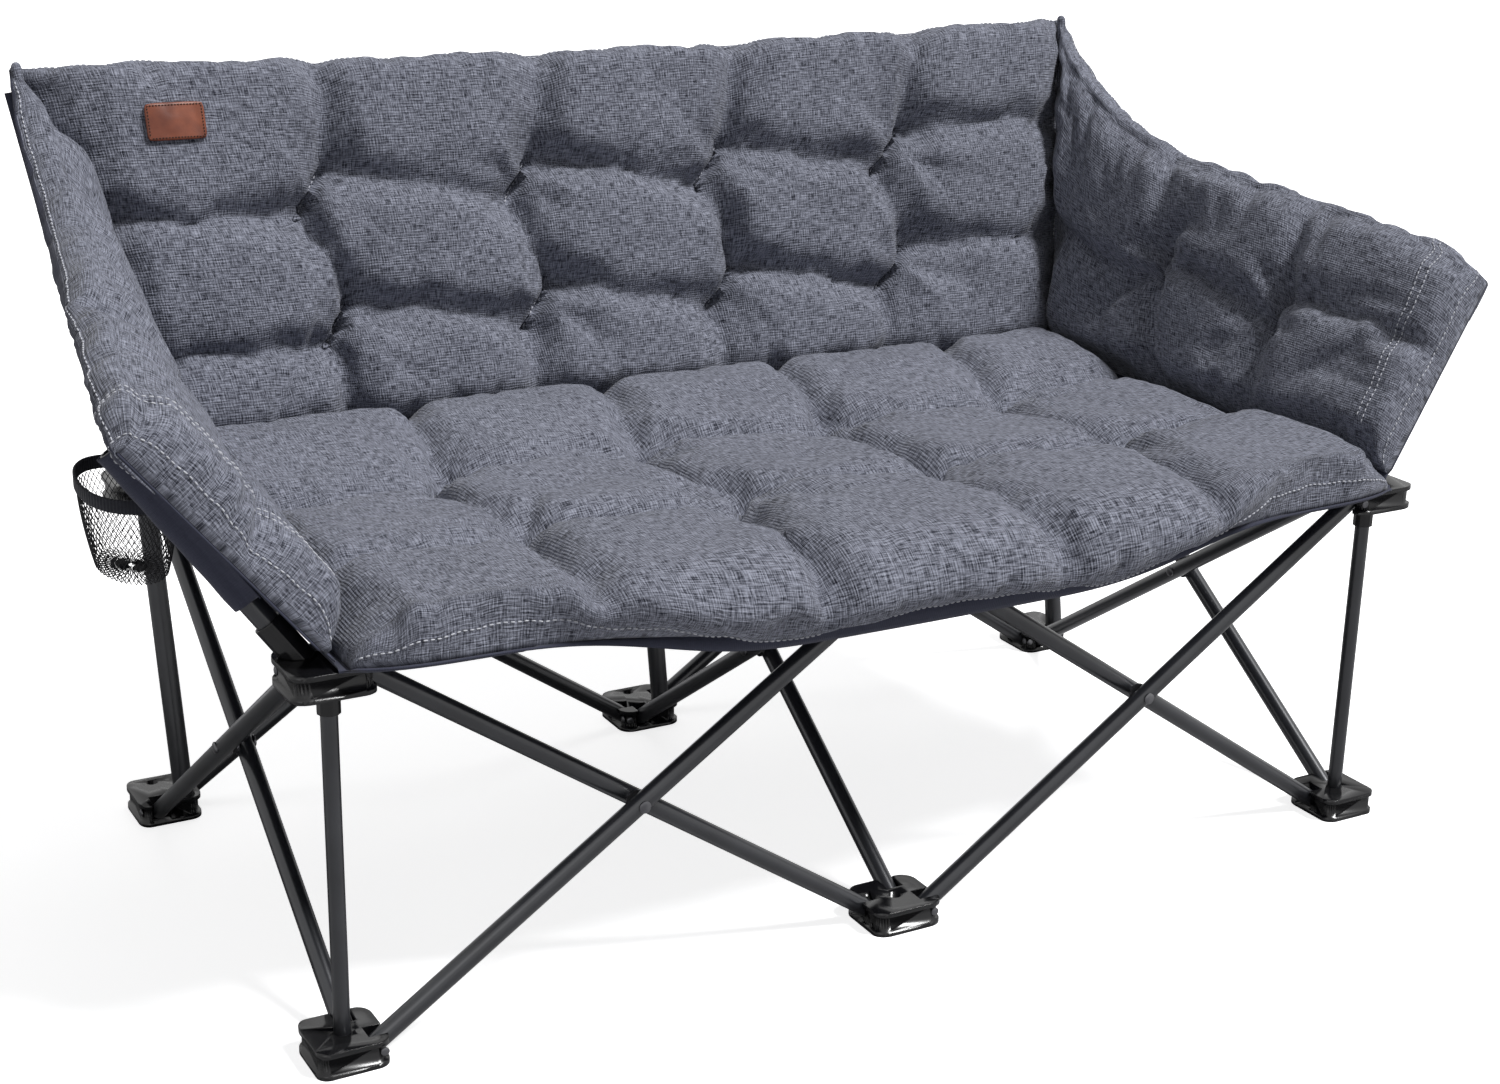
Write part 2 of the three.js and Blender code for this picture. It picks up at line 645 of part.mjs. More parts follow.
// The leather patch lies on the padding near the top left corner of the back
function patch() {
  const swell = loft(pads.back);
  const widthShare = PATCH.width / (2 * BACK_TOP_HALF);
  const heightShare = (PATCH.height * backCosine) / (BACK_TOP_HEIGHT - hubTop);
  const surface = (u, v) => {
    const across = PATCH_PLACE_SHARES[0] + (u - 1 / 2) * widthShare;
    const up = PATCH_PLACE_SHARES[1] + (v - 1 / 2) * heightShare;
    const lift = swell(across, up) + FIT_GAP;
    return backSurface(across, up).addScaledVector(normalOf(backSurface, across, up), lift);
  };
  const grid = { across: evenShares(PATCH_CELLS.across), up: evenShares(PATCH_CELLS.up) };
  const leather = layer(surface, grid, offsetBy(FIT_GAP), offsetBy(PATCH.thickness));
  add("leather_patch", leather, finishes.leather);
}

// Poles and bows
// Each runs parallel to the cloth that it carries, in a sewn sleeve that is closed at the top

function sleeveOver(name, start, end, diameter, flip) {
  const along = new THREE.Vector3().subVectors(end, start).normalize();
  const outer = diameter + 2 * (FIT_GAP + SLEEVE_THICKNESS);
  const low = start.clone().addScaledVector(along, SLEEVE_HEM);
  const closed = end.clone().addScaledVector(along, FIT_GAP + SLEEVE_THICKNESS);
  const bore = bar(start, end.clone().addScaledVector(along, FIT_GAP), diameter + 2 * FIT_GAP);
  const geometry = geometryOf(bar(low, closed, outer).subtract(bore));
  add(name, flip ? mirrored(geometry) : geometry, finishes.plain);
}

function polePoints(column) {
  const side = Math.sign(columns[column]);
  const height = BACK_TOP_HEIGHT - TUBE_END;
  const low = new THREE.Vector3(columns[column], poleDepth(hubTop), hubTop);
  const spread = BACK_FLARE - POLE_INSET;
  const high = new THREE.Vector3(columns[column] + side * spread, poleDepth(height), height);
  const along = new THREE.Vector3().subVectors(high, low).normalize();
  return { seat: low.clone().addScaledVector(along, -POLE_SEAT), low, high, along };
}

function poleHole(column) {
  const { seat, high } = polePoints(column);
  return bar(seat, high, POLE_DIAMETER + 2 * FIT_GAP);
}

function poles() {
  for (const column of Object.keys(columns)) {
    const { seat, low, high, along } = polePoints(column);
    const tube = pipe(seat.clone().addScaledVector(along, FIT_GAP), high, POLE_DIAMETER, POLE_WALL);
    add(`back_pole_${column}`, geometryOf(tube), finishes.steel);
    sleeveOver(`pole_sleeve_${column}`, low, high, POLE_DIAMETER, false);
  }
}

// The right bow; it stands on its hub in an angled socket
function bowPoints() {
  const standoff = SOCKET_DIAMETER / 2 + BOW_CLEARANCE + CLOTH;
  const outward = normalOf(armSurface, BOW_STATION_SHARE, 1 / 2).multiplyScalar(-standoff);
  const low = armSurface(BOW_STATION_SHARE, 0).add(outward);
  const top = armSurface(BOW_STATION_SHARE, 1).add(outward);
  const along = new THREE.Vector3().subVectors(top, low).normalize();
  const foot = low.clone().addScaledVector(along, (hubTop + FIT_GAP - low.z) / along.z);
  return { foot, end: top.clone().addScaledVector(along, -TUBE_END), along };
}

function bows() {
  const { foot, end, along } = bowPoints();
  const floor = foot.clone().addScaledVector(along, SOCKET_FLOOR);
  const start = floor.clone().addScaledVector(along, FIT_GAP);
  const tube = geometryOf(pipe(start, end, BOW_DIAMETER, POLE_WALL));
  const whole = barAlong(foot, along, -SOCKET_DIAMETER, SOCKET_LENGTH, SOCKET_DIAMETER);
  const base = box(CUT, CUT, CUT, foot.x, foot.y, foot.z - CUT / 2);
  const socket = geometryOf(cut(whole, [base, bar(floor, end, BOW_DIAMETER + 2 * FIT_GAP)]));
  for (const side of ["left", "right"]) {
    const flip = side === "left";
    add(`arm_bow_${side}`, flip ? mirrored(tube) : tube, finishes.steel);
    add(`arm_socket_${side}`, flip ? mirrored(socket) : socket, finishes.plastic);
    sleeveOver(`bow_sleeve_${side}`, foot, end, BOW_DIAMETER, flip);
  }
}

// The net pocket hangs outside the left arm from a stiff rim

function ring(profile, middle) {
  const points = profile.map(([radius, height]) => new THREE.Vector2(radius, height));
  const geometry = new THREE.LatheGeometry([...points, points[0]], SIDES.ring);
  geometry.rotateX(Math.PI / 2);
  geometry.scale(POCKET.depth / POCKET.length, 1, 1);
  geometry.translate(middle.x, middle.y, middle.z);
  return geometryOf(solid(geometry));
}

function pocket() {
  const rimHeight = hubTop + POCKET_RIM_RISE;
  const half = POCKET.length / 2;
  const up = (rimHeight + POCKET.rim - armLow) / (armSurface(POCKET_STATION_SHARE, 1).z - armLow);
  const held = armSurface(POCKET_STATION_SHARE, up).addScaledVector(
    normalOf(armSurface, POCKET_STATION_SHARE, up),
    -CLOTH - 2 * FIT_GAP,
  );
  const reach = (half + POCKET.rimWall) * (POCKET.depth / POCKET.length) + FIT_GAP;
  const middle = new THREE.Vector3(-held.x - reach, held.y, rimHeight);
  const inner = half - POCKET.wall;
  const narrow = half * POCKET_TAPER_SHARE;
  const net = [
    [half, -FIT_GAP],
    [half * POCKET_BELLY_SHARE, -POCKET.height / 2],
    [narrow, -POCKET.height],
    [0, -POCKET.height],
    [0, -POCKET.height + POCKET.wall],
    [narrow - POCKET.wall, -POCKET.height + POCKET.wall],
    [inner * POCKET_BELLY_SHARE, -POCKET.height / 2],
    [inner, -FIT_GAP],
  ];
  const rim = [
    [half + POCKET.rimWall, 0],
    [half + POCKET.rimWall, POCKET.rim],
    [inner, POCKET.rim],
    [inner, 0],
  ];
  add("pocket_net", ring(net.reverse(), middle), finishes.net);
  add("pocket_rim", ring(rim, middle), finishes.plain);
}

// Blocks, with the holes that their own column and row need

function blocks() {
  for (const column of Object.keys(columns)) {
    for (const row of Object.keys(rows)) {
      const holes = hasStrut(column, row) ? [strutHole(column, row)] : [];
      const place = at(column, row, row === "rear" ? REAR_HOLE : CENTRED, FOOT_THICKNESS);
      if (row === "rear" || column === "center") {
        holes.push(barAlong(place, unit.z, -STRUT_SEAT, CUT, LIGHTENING_HOLE, SIDES.hole));
      }
      const foot = cut(mouldedBlock(column, row, false), holes);
      add(`foot_${row}_${column}`, geometryOf(foot), finishes.plastic);
      const hub = mouldedBlock(column, row, true);
      const drilled = row === "rear" ? hub.subtract(poleHole(column)) : hub;
      add(`hub_${row}_${column}`, geometryOf(drilled), finishes.plastic);
      if (hasStrut(column, row)) strut(column, row);
    }
  }
}

crossedLegs();
blocks();
poles();
bows();
cushions();
patch();
pocket();

// The origin goes to the middle of the object's outline, on the ground
const middle = new THREE.Box3().setFromObject(loveseat, true).getCenter(new THREE.Vector3());
for (const mesh of loveseat.children) {
  mesh.geometry.translate(-middle.x, -middle.y, 0);
}

export default loveseat;
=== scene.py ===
import json
import math

import bmesh
import bpy
import numpy as np
from mathutils import Matrix, Vector
from mathutils.bvhtree import BVHTree


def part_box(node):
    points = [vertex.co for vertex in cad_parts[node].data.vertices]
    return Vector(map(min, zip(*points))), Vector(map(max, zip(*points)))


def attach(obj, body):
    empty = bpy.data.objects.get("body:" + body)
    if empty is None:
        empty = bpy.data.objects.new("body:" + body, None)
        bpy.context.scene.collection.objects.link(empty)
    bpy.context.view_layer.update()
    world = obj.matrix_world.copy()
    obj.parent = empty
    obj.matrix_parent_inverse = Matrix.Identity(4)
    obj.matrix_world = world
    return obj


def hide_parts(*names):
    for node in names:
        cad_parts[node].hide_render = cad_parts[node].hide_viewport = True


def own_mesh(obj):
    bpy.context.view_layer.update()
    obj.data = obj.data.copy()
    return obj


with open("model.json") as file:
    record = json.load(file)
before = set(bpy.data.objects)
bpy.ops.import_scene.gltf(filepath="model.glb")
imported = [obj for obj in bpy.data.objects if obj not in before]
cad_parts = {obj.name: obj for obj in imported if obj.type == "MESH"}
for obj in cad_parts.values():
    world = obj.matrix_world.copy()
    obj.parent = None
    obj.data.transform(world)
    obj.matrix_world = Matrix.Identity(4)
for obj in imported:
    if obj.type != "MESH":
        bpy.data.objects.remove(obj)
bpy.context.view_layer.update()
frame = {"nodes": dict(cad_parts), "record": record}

# %% [markdown]
# The folding loveseat stands on a frame of crossed tubes that comes packed from the CAD model.
# The finished model has to stay the same size.

# %% [markdown]
# All the cloth hangs from the hubs, so its shapes start from where the hubs are.
# We read those places from the frame and write the few lengths of the cloth beside them, in metres.

# %% Where the cloth hangs
def middle(node):
    low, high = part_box(node)
    return (low + high) / 2


HUB_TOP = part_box("hub_front_left")[1].z
BAY = middle("hub_front_right").x
FRONT = middle("hub_front_left").y
REAR = middle("hub_rear_left").y
HUB_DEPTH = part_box("hub_front_left")[1].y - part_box("hub_front_left")[0].y
CENTRE = (FRONT + REAR) / 2
SEAM = 0.007
BACK_TOP = 0.822
BACK_TOP_HALF = 0.682
BACK_LEAN = math.radians(17)
LEAN = math.tan(BACK_LEAN)
STANDOFF = 0.0164 / math.cos(BACK_LEAN)
SEAT_HALF = 0.598
SEAT_SAG, LIP_SHARE, LIP_DROP, LIP_REACH = 0.018, 0.11, 0.026, 0.012
BACK_FOOT, BACK_FLARE, TOP_SAG = 0.008, 0.011, 0.012
SEAT_LIFT, CORNER_PULL = 0.0027, 0.02
print("hub top", round(HUB_TOP, 3), "rows", round(FRONT, 3), round(REAR, 3))

# %% [markdown]
# Each pad is sewn on a backing cloth, and that cloth is a simple surface: a leaning plane behind the sitter,
# a shallow hammock under the sitter, and a swept sheet at each arm. A surface here is a function
# from two shares to points, so that the same function places the pad, its backing and its stitches.

# %% Surfaces of the cloth
def mix(a, b, t):
    return a + (b - a) * t


def smoothstep(t, low, high):
    s = np.clip((t - low) / (high - low), 0, 1)
    return s * s * (3 - 2 * s)


def back_depth(height):
    return REAR + 0.026 + LEAN * (height - HUB_TOP) - STANDOFF


def back_surface(u, v):
    height = mix(HUB_TOP + BACK_FOOT, BACK_TOP - TOP_SAG * (1 - (2 * u - 1) ** 2), v)
    half = mix(BAY + BACK_FLARE, BACK_TOP_HALF, v)
    return np.stack([mix(-half, half, u), back_depth(height), height], -1)


def seat_surface(u, v):
    share = np.abs(2 * u - 1)
    level = smoothstep(share, 0.25, 0.9)
    flat = np.maximum(0, (v - LIP_SHARE) / (1 - LIP_SHARE))
    lip = np.maximum(0, 1 - v / LIP_SHARE)
    turn = math.pi / 2 * lip * (1 - level)
    front = FRONT - HUB_DEPTH / 2 - 0.004
    rear = back_depth(HUB_TOP) - SEAM - 0.003
    y = mix(front, rear, flat) - LIP_REACH * mix(np.sin(turn), lip, level)
    y = y + CORNER_PULL * share**16 * (1 - flat)
    reach = -(FRONT - CENTRE) - HUB_DEPTH / 2 - 0.062
    hang = np.maximum(0, 1 - ((y - CENTRE) / reach) ** 2)
    drop = SEAT_SAG * hang + LIP_DROP * (1 - np.cos(turn))
    return np.stack([mix(-SEAT_HALF, SEAT_HALF, u), y, HUB_TOP + SEAT_LIFT - drop], -1)


def arm_rear(height):
    return back_depth(height) - SEAM - 0.012


ARM_LOW, ARM_FRONT, ARM_OUT = HUB_TOP + 0.014, CENTRE - 0.322, 0.614
# The arm's top edge is one curve from the back's corner to the front, held by these four points.
ARM_TOP = np.array([
    [BACK_TOP_HALF, arm_rear(BACK_TOP), BACK_TOP],
    [BACK_TOP_HALF, CENTRE + 0.250, 0.620],
    [0.7265, CENTRE + 0.050, 0.680],
    [0.771, CENTRE - 0.284, 0.604],
])


def arm_surface(u, v):
    t = u[..., None]
    a, b, c, d = ARM_TOP
    top = a * (1 - t) ** 3 + 3 * b * t * (1 - t) ** 2 + 3 * c * t * t * (1 - t) + d * t**3
    y = mix(arm_rear(ARM_LOW), ARM_FRONT, u)
    low = np.stack([np.full_like(u, ARM_OUT), y, np.full_like(u, ARM_LOW)], -1)
    return mix(low, top, v[..., None])


def left_arm_surface(u, v):
    return arm_surface(1 - u, v) * np.array([-1, 1, 1])


def shares(across, up):
    return np.meshgrid(np.linspace(0, 1, across), np.linspace(0, 1, up))


def steps(surface, u, v, step=1e-3):
    """Short steps on a surface, along it and up it."""
    along = surface(np.minimum(u + step, 1), v) - surface(np.maximum(u - step, 0), v)
    upward = surface(u, np.minimum(v + step, 1)) - surface(u, np.maximum(v - step, 0))
    return along, upward


def unit(vectors):
    return vectors / np.linalg.norm(vectors, axis=-1, keepdims=True)


def normals(surface, u, v):
    return unit(np.cross(*steps(surface, u, v)))


def side_lengths(surface):
    t = np.linspace(0, 1, 60)
    half = np.full_like(t, 0.5)
    across = np.linalg.norm(np.diff(surface(t, half), axis=0), axis=1).sum()
    up = np.linalg.norm(np.diff(surface(half, t), axis=0), axis=1).sum()
    return across, up


for name, surface in (("back", back_surface), ("seat", seat_surface), ("arm", arm_surface)):
    print(name, "cloth measures", [round(float(s), 3) for s in side_lengths(surface)])

# %% [markdown]
# The padded faces are a heathered cloth: light and dark threads run both ways, so the colour breaks up into
# short streaks along the weave. Two stretched noises make the streaks, one along each thread direction, and a
# fine pair of waves gives the bump of the weave itself. The pattern reads the cloth's own length and width
# from its UV map, so the threads keep their real size on every pad.

# %% Materials: cloth
def new_material(name):
    material = bpy.data.materials.new(name)
    material.use_nodes = True
    tree = material.node_tree
    return material, tree, tree.nodes["Principled BSDF"]


def node(tree, kind, **values):
    made = tree.nodes.new(kind)
    for key, value in values.items():
        if key in made.inputs:
            made.inputs[key].default_value = value
        else:
            setattr(made, key, value)
    return made


def set_inputs(shader, values):
    for key, value in values.items():
        shader.inputs[key].default_value = value


def stretched_noise(tree, source, scale):
    mapping = node(tree, "ShaderNodeMapping", Scale=scale)
    noise = node(tree, "ShaderNodeTexNoise", Scale=1.0, Detail=2.0, Roughness=0.55)
    tree.links.new(source, mapping.inputs["Vector"])
    tree.links.new(mapping.outputs["Vector"], noise.inputs["Vector"])
    return noise.outputs["Fac"]


def math_node(tree, operation, a, b):
    made = node(tree, "ShaderNodeMath", operation=operation)
    for slot, value in zip(made.inputs, (a, b)):
        if isinstance(value, (int, float)):
            slot.default_value = value
        else:
            tree.links.new(value, slot)
    return made.outputs["Value"]


def weave(tree, source, threads):
    """Height of a plain weave with that many threads to the metre."""
    waves = []
    for direction in "XY":
        wave = node(tree, "ShaderNodeTexWave", bands_direction=direction, Scale=threads / 20 * math.pi)
        tree.links.new(source, wave.inputs["Vector"])
        waves.append(wave.outputs["Fac"])
    return math_node(tree, "ADD", *waves)


def cloth_material(name, dark, light, streak, threads, roughness, bump):
    """Streaks between a dark and a light colour, on a weave of so many threads to the metre."""
    material, tree, shader = new_material(name)
    uv = tree.nodes.new("ShaderNodeTexCoord").outputs["UV"]
    warp = stretched_noise(tree, uv, (960, 85, 1))
    weft = stretched_noise(tree, uv, (70, 880, 1))
    broad = stretched_noise(tree, uv, (9, 9, 1))
    threads_sum = math_node(tree, "ADD", warp, weft)
    blend = math_node(tree, "MULTIPLY", math_node(tree, "SUBTRACT", threads_sum, 1.0), streak)
    drift = math_node(tree, "MULTIPLY", math_node(tree, "SUBTRACT", broad, 0.5), 0.18)
    level = math_node(tree, "ADD", math_node(tree, "ADD", blend, 0.5), drift)
    ramp = tree.nodes.new("ShaderNodeValToRGB")
    ramp.color_ramp.elements[0].color = (*dark, 1)
    ramp.color_ramp.elements[1].color = (*light, 1)
    tree.links.new(level, ramp.inputs["Fac"])
    tree.links.new(ramp.outputs["Color"], shader.inputs["Base Color"])
    bumps = node(tree, "ShaderNodeBump", Strength=bump, Distance=0.0006)
    height = math_node(tree, "ADD", weave(tree, uv, threads), threads_sum)
    tree.links.new(height, bumps.inputs["Height"])
    tree.links.new(bumps.outputs["Normal"], shader.inputs["Normal"])
    set_inputs(shader, {"Roughness": roughness, **CLOTH_SHEEN})
    return material


CLOTH_SHEEN = {"Sheen Weight": 0.12, "Sheen Roughness": 0.5, "Specular IOR Level": 0.15}
HEATHER = cloth_material(
    "heathered_cloth", dark=(0.017, 0.019, 0.030), light=(0.325, 0.340, 0.412),
    streak=2.3, threads=620, roughness=0.92, bump=0.6)
PLAIN = cloth_material(
    "plain_cloth", dark=(0.040, 0.043, 0.066), light=(0.066, 0.070, 0.104),
    streak=0.7, threads=900, roughness=0.8, bump=0.25)
WEBBING = cloth_material(
    "webbing", dark=(0.012, 0.013, 0.018), light=(0.035, 0.037, 0.048),
    streak=0.9, threads=420, roughness=0.75, bump=0.6)
print("cloth materials", HEATHER.name, PLAIN.name, WEBBING.name)

# %% [markdown]
# Thread, leather, net, tubes and mouldings each get their own finish: a fine bump and a broad drift between
# two colours. The tubes have a satin powder coat with a faint orange peel. The mouldings are glossy, and a
# Bevel node rounds their edges in the light, which is cheap and leaves the mesh as it is.

# %% Materials: thread, leather, steel and plastic
def grained(name, colours, roughness, scale, distance, strength, spread, metallic=0.0):
    """A material with a grain of that scale, whose colour drifts between two."""
    material, tree, shader = new_material(name)
    set_inputs(shader, {"Roughness": roughness, "Metallic": metallic})
    place = tree.nodes.new("ShaderNodeTexCoord").outputs["Object"]
    noise = node(tree, "ShaderNodeTexNoise", Scale=scale, Detail=4.0)
    tree.links.new(place, noise.inputs["Vector"])
    bumps = node(tree, "ShaderNodeBump", Strength=strength, Distance=distance)
    tree.links.new(noise.outputs["Fac"], bumps.inputs["Height"])
    tree.links.new(bumps.outputs["Normal"], shader.inputs["Normal"])
    broad = node(tree, "ShaderNodeTexNoise", Scale=scale * spread, Detail=3.0)
    tree.links.new(place, broad.inputs["Vector"])
    ramp = tree.nodes.new("ShaderNodeValToRGB")
    ramp.color_ramp.elements[0].position = 0.3
    ramp.color_ramp.elements[1].position = 0.7
    for element, colour in zip(ramp.color_ramp.elements, colours):
        element.color = (*colour, 1)
    tree.links.new(broad.outputs["Fac"], ramp.inputs["Fac"])
    tree.links.new(ramp.outputs["Color"], shader.inputs["Base Color"])
    return material, tree, shader, bumps


COAT = ((0.022, 0.023, 0.027), (0.036, 0.038, 0.044))
COATED, _, shader, _ = grained("coated_steel", COAT, 0.30, 900, 0.0002, 0.10, 0.02, 0.4)
set_inputs(shader, {"Specular IOR Level": 0.8, "Coat Weight": 0.5, "Coat Roughness": 0.16})
BLACK = ((0.004, 0.004, 0.005), (0.008, 0.008, 0.009))
MOULDED, tree, _, bumps = grained("moulded_plastic", BLACK, 0.2, 700, 0.0002, 0.06, 0.03)
bevel = node(tree, "ShaderNodeBevel", Radius=0.0016, samples=4)
tree.links.new(bevel.outputs["Normal"], bumps.inputs["Normal"])
BARE_STEEL = ((0.12, 0.12, 0.13), (0.22, 0.22, 0.23))
RIVET = grained("rivet_steel", BARE_STEEL, 0.28, 1200, 0.0001, 0.2, 0.05, 0.9)[0]
HIDE = ((0.13, 0.028, 0.011), (0.26, 0.068, 0.028))
LEATHER = grained("leather", HIDE, 0.42, 1400, 0.0004, 0.35, 0.03)[0]
PALE = ((0.46, 0.47, 0.52), (0.62, 0.63, 0.68))
THREAD = grained("pale_thread", PALE, 0.8, 2500, 0.0002, 0.4, 0.1)[0]
BROWN = ((0.045, 0.016, 0.010), (0.08, 0.028, 0.016))
DARK_THREAD = grained("dark_thread", BROWN, 0.8, 2500, 0.0002, 0.4, 0.1)[0]
CORD = ((0.008, 0.008, 0.010), (0.018, 0.018, 0.022))
NET = grained("net_cord", CORD, 0.7, 3000, 0.0002, 0.4, 0.1)[0]

MOULDED_PREFIXES = ("strut_cap", "arm_socket")
moulded_nodes = [name for name in frame["nodes"] if name.startswith(MOULDED_PREFIXES)]
for name in moulded_nodes:
    frame["nodes"][name].data.materials.clear()
    frame["nodes"][name].data.materials.append(MOULDED)
print("caps and sockets finished", len(moulded_nodes))

# %% [markdown]
# Most pieces below are meshes made from points. A few short functions give a grid or a row of rings its
# faces, put the object in the scene, hide the CAD node it stands in for and parent it to an empty for its
# body.

# %% Meshes from points
def grid_faces(across, up, start=0, flip=False):
    a = (np.arange(up - 1)[:, None] * across + np.arange(across - 1)[None, :]).ravel() + start
    order = [a, a + 1, a + across + 1, a + across]
    return np.stack(order[::-1] if flip else order, 1)


def ring_faces(rings, sides, closed=False):
    """Faces between rings of points; closed also joins the last ring to the first."""
    faces = []
    for r in range(rings if closed else rings - 1):
        a, b = r * sides, (r + 1) % rings * sides
        faces += [(a + k, a + (k + 1) % sides, b + (k + 1) % sides, b + k) for k in range(sides)]
    return faces


def circle(centre, side, other, radius, sides):
    """Points of a circle about centre that starts at side and turns towards other."""
    turns = [2 * math.pi * k / sides for k in range(sides)]
    return [centre + side * (radius * math.cos(t)) + other * (radius * math.sin(t)) for t in turns]


def end_faces(rings, sides):
    last = (rings - 1) * sides
    return [tuple(range(sides - 1, -1, -1)), tuple(range(last, last + sides))]


def in_scene(made):
    bpy.context.scene.collection.objects.link(made)
    return made


def smooth_object(name, mesh, material):
    mesh.materials.append(material)
    mesh.polygons.foreach_set("use_smooth", [True] * len(mesh.polygons))
    return in_scene(bpy.data.objects.new(name, mesh))


def mesh_object(name, points, faces, material):
    mesh = bpy.data.meshes.new(name)
    mesh.from_pydata([tuple(p) for p in points], [], [tuple(int(i) for i in f) for f in faces])
    return smooth_object(name, mesh, material)


def set_uv(made, uv):
    layer = made.data.uv_layers.new(name="cloth")
    index = np.zeros(len(made.data.loops), np.int32)
    made.data.loops.foreach_get("vertex_index", index)
    layer.data.foreach_set("uv", uv[index].astype(np.float32).ravel())


def apply_modifiers(made):
    bpy.context.view_layer.objects.active = made
    for modifier in list(made.modifiers):
        with bpy.context.temp_override(object=made, active_object=made, selected_objects=[made]):
            bpy.ops.object.modifier_apply(modifier=modifier.name)
    made.data.polygons.foreach_set("use_smooth", [True] * len(made.data.polygons))


def thickened(made, thickness):
    solid = made.modifiers.new("thickness", "SOLIDIFY")
    solid.thickness = thickness
    solid.offset = 1
    apply_modifiers(made)


def fitted(made, node_name, body):
    """Put a piece in the place of a CAD node, or of none, and let it ride on a body."""
    if node_name:
        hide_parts(node_name)
    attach(made, body)
    return made


# %% [markdown]
# The real tubes are round, and the CAD tubes have few sides. Each tube gets a round one in its place: we
# find the axis of its node from the rings of points at its two ends, and turn a profile about it.

# %% Round tubes
LEG_RADIUS, LEG_GAP, LEG_OVERHANG = 0.0095, 0.0014, 0.0055
LEG_TUBE, POLE_TUBE = (LEG_RADIUS, 0.0012), (0.011, 0.0014)
TUBES = {
    "side_leg": LEG_TUBE,
    "front_leg": LEG_TUBE,
    "rear_leg": LEG_TUBE,
    "strut_front": (0.008, 0.0012),
    "strut_rear": (0.011, 0.0012),
    "back_pole": POLE_TUBE,
    "arm_bow": POLE_TUBE,
}
TUBE_RIM, END_DEPTH = 0.0003, 0.0015
RIVET_HEAD, PIN_HEAD = (0.0062, 0.0022), (0.0042, 0.0016)
WASHER_RADIUS, WASHER_BORE = 0.0105, 0.003
BODY_OF = {name: body for body, names in frame["record"]["behaviour"]["bodies"].items() for name in names}


def axis_of(node_name):
    """The two ends of a straight tube's axis, the lower one first."""
    points = np.array([v.co for v in frame["nodes"][node_name].data.vertices])
    along = np.linalg.svd(points - points.mean(0), full_matrices=False)[2][0]
    along = along if along[2] > 0 else -along
    for _ in range(3):
        reach = points @ along
        low = points[reach < reach.min() + END_DEPTH]
        high = points[reach > reach.max() - END_DEPTH]
        low, high = (np.unique(ring.round(6), axis=0).mean(0) for ring in (low, high))
        along = (high - low) / np.linalg.norm(high - low)
    return Vector(low), Vector(high)


def leg_across(node_name):
    """The direction of a leg's pins."""
    return Vector((1, 0, 0)) if "side_leg" in node_name else Vector((0, 1, 0))


def turned(place, along, profile, sides=28):
    """Points and faces of a closed profile of (radius, height) turned about an axis."""
    side = along.orthogonal().normalized()
    other = along.cross(side)
    points = []
    for radius, height in profile:
        points += circle(place + along * height, side, other, radius, sides)
    return points, ring_faces(len(profile), sides, True)


def domed(place, along, radius, height, sides=20):
    """A domed head that stands on place and looks along."""
    shares_of_head = ((1, 0.45), (0.8, 0.85), (0.35, 1))
    profile = [(radius, -0.0005)] + [(radius * a, height * b) for a, b in shares_of_head]
    points, _ = turned(place, along, profile, sides)
    return points, ring_faces(len(profile), sides) + end_faces(len(profile), sides)


def joined_mesh(name, parts, materials):
    """One mesh from (points, faces, material index) parts."""
    points, faces, kinds = [], [], []
    for part_points, part_faces, kind in parts:
        faces += [tuple(i + len(points) for i in face) for face in part_faces]
        kinds += [kind] * len(part_faces)
        points += part_points
    made = mesh_object(name, points, faces, materials[0])
    for material in materials[1:]:
        made.data.materials.append(material)
    made.data.polygons.foreach_set("material_index", kinds)
    made.data.set_sharp_from_angle(angle=math.radians(40))
    return made


def crossing_rivet(centre, way):
    """The rivet on a leg that runs on towards way, through its partner, with a washer between the two."""
    near, far = LEG_RADIUS - 0.001, LEG_RADIUS + LEG_GAP
    washer = [(WASHER_RADIUS, near), (WASHER_RADIUS, far), (WASHER_BORE, far), (WASHER_BORE, near)]
    end = 3 * LEG_RADIUS + LEG_GAP
    made = (domed(centre - way * LEG_RADIUS, -way, *RIVET_HEAD), domed(centre + way * end, way, *RIVET_HEAD))
    return [(*part, 1) for part in (*made, turned(centre, way, washer))]


def tube_piece(node_name, radius, wall):
    low, high = axis_of(node_name)
    length = (high - low).length
    profile = [(radius - TUBE_RIM, 0), (radius, TUBE_RIM), (radius, length - TUBE_RIM)]
    profile += [(radius - TUBE_RIM, length), (radius - wall, length), (radius - wall, 0)]
    parts = [(*turned(low, (high - low) / length, profile), 0)]
    box_low, box_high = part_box(node_name)
    across = leg_across(node_name)
    if "leg" in node_name and (box_high - box_low).dot(across) > 3.5 * LEG_RADIUS:
        centre = (low + high) / 2
        outwards = ((box_low + box_high) / 2 - centre).dot(across) > 0
        parts += crossing_rivet(centre, across if outwards else -across)
    made = joined_mesh(node_name + "_tube", parts, (COATED, RIVET))
    return fitted(made, node_name, BODY_OF[node_name])


# %% [markdown]
# Feet and hubs are glossy mouldings with soft edges, and in the photograph they are smaller than the CAD
# blocks. We take each block's own mesh and draw in what lies far from its middle, so its walls come closer
# to the legs.

# %% Moulded blocks
KNEE, BLOCK_HALF, WEB_INSET = 0.0215, (0.046, 0.044), 0.005
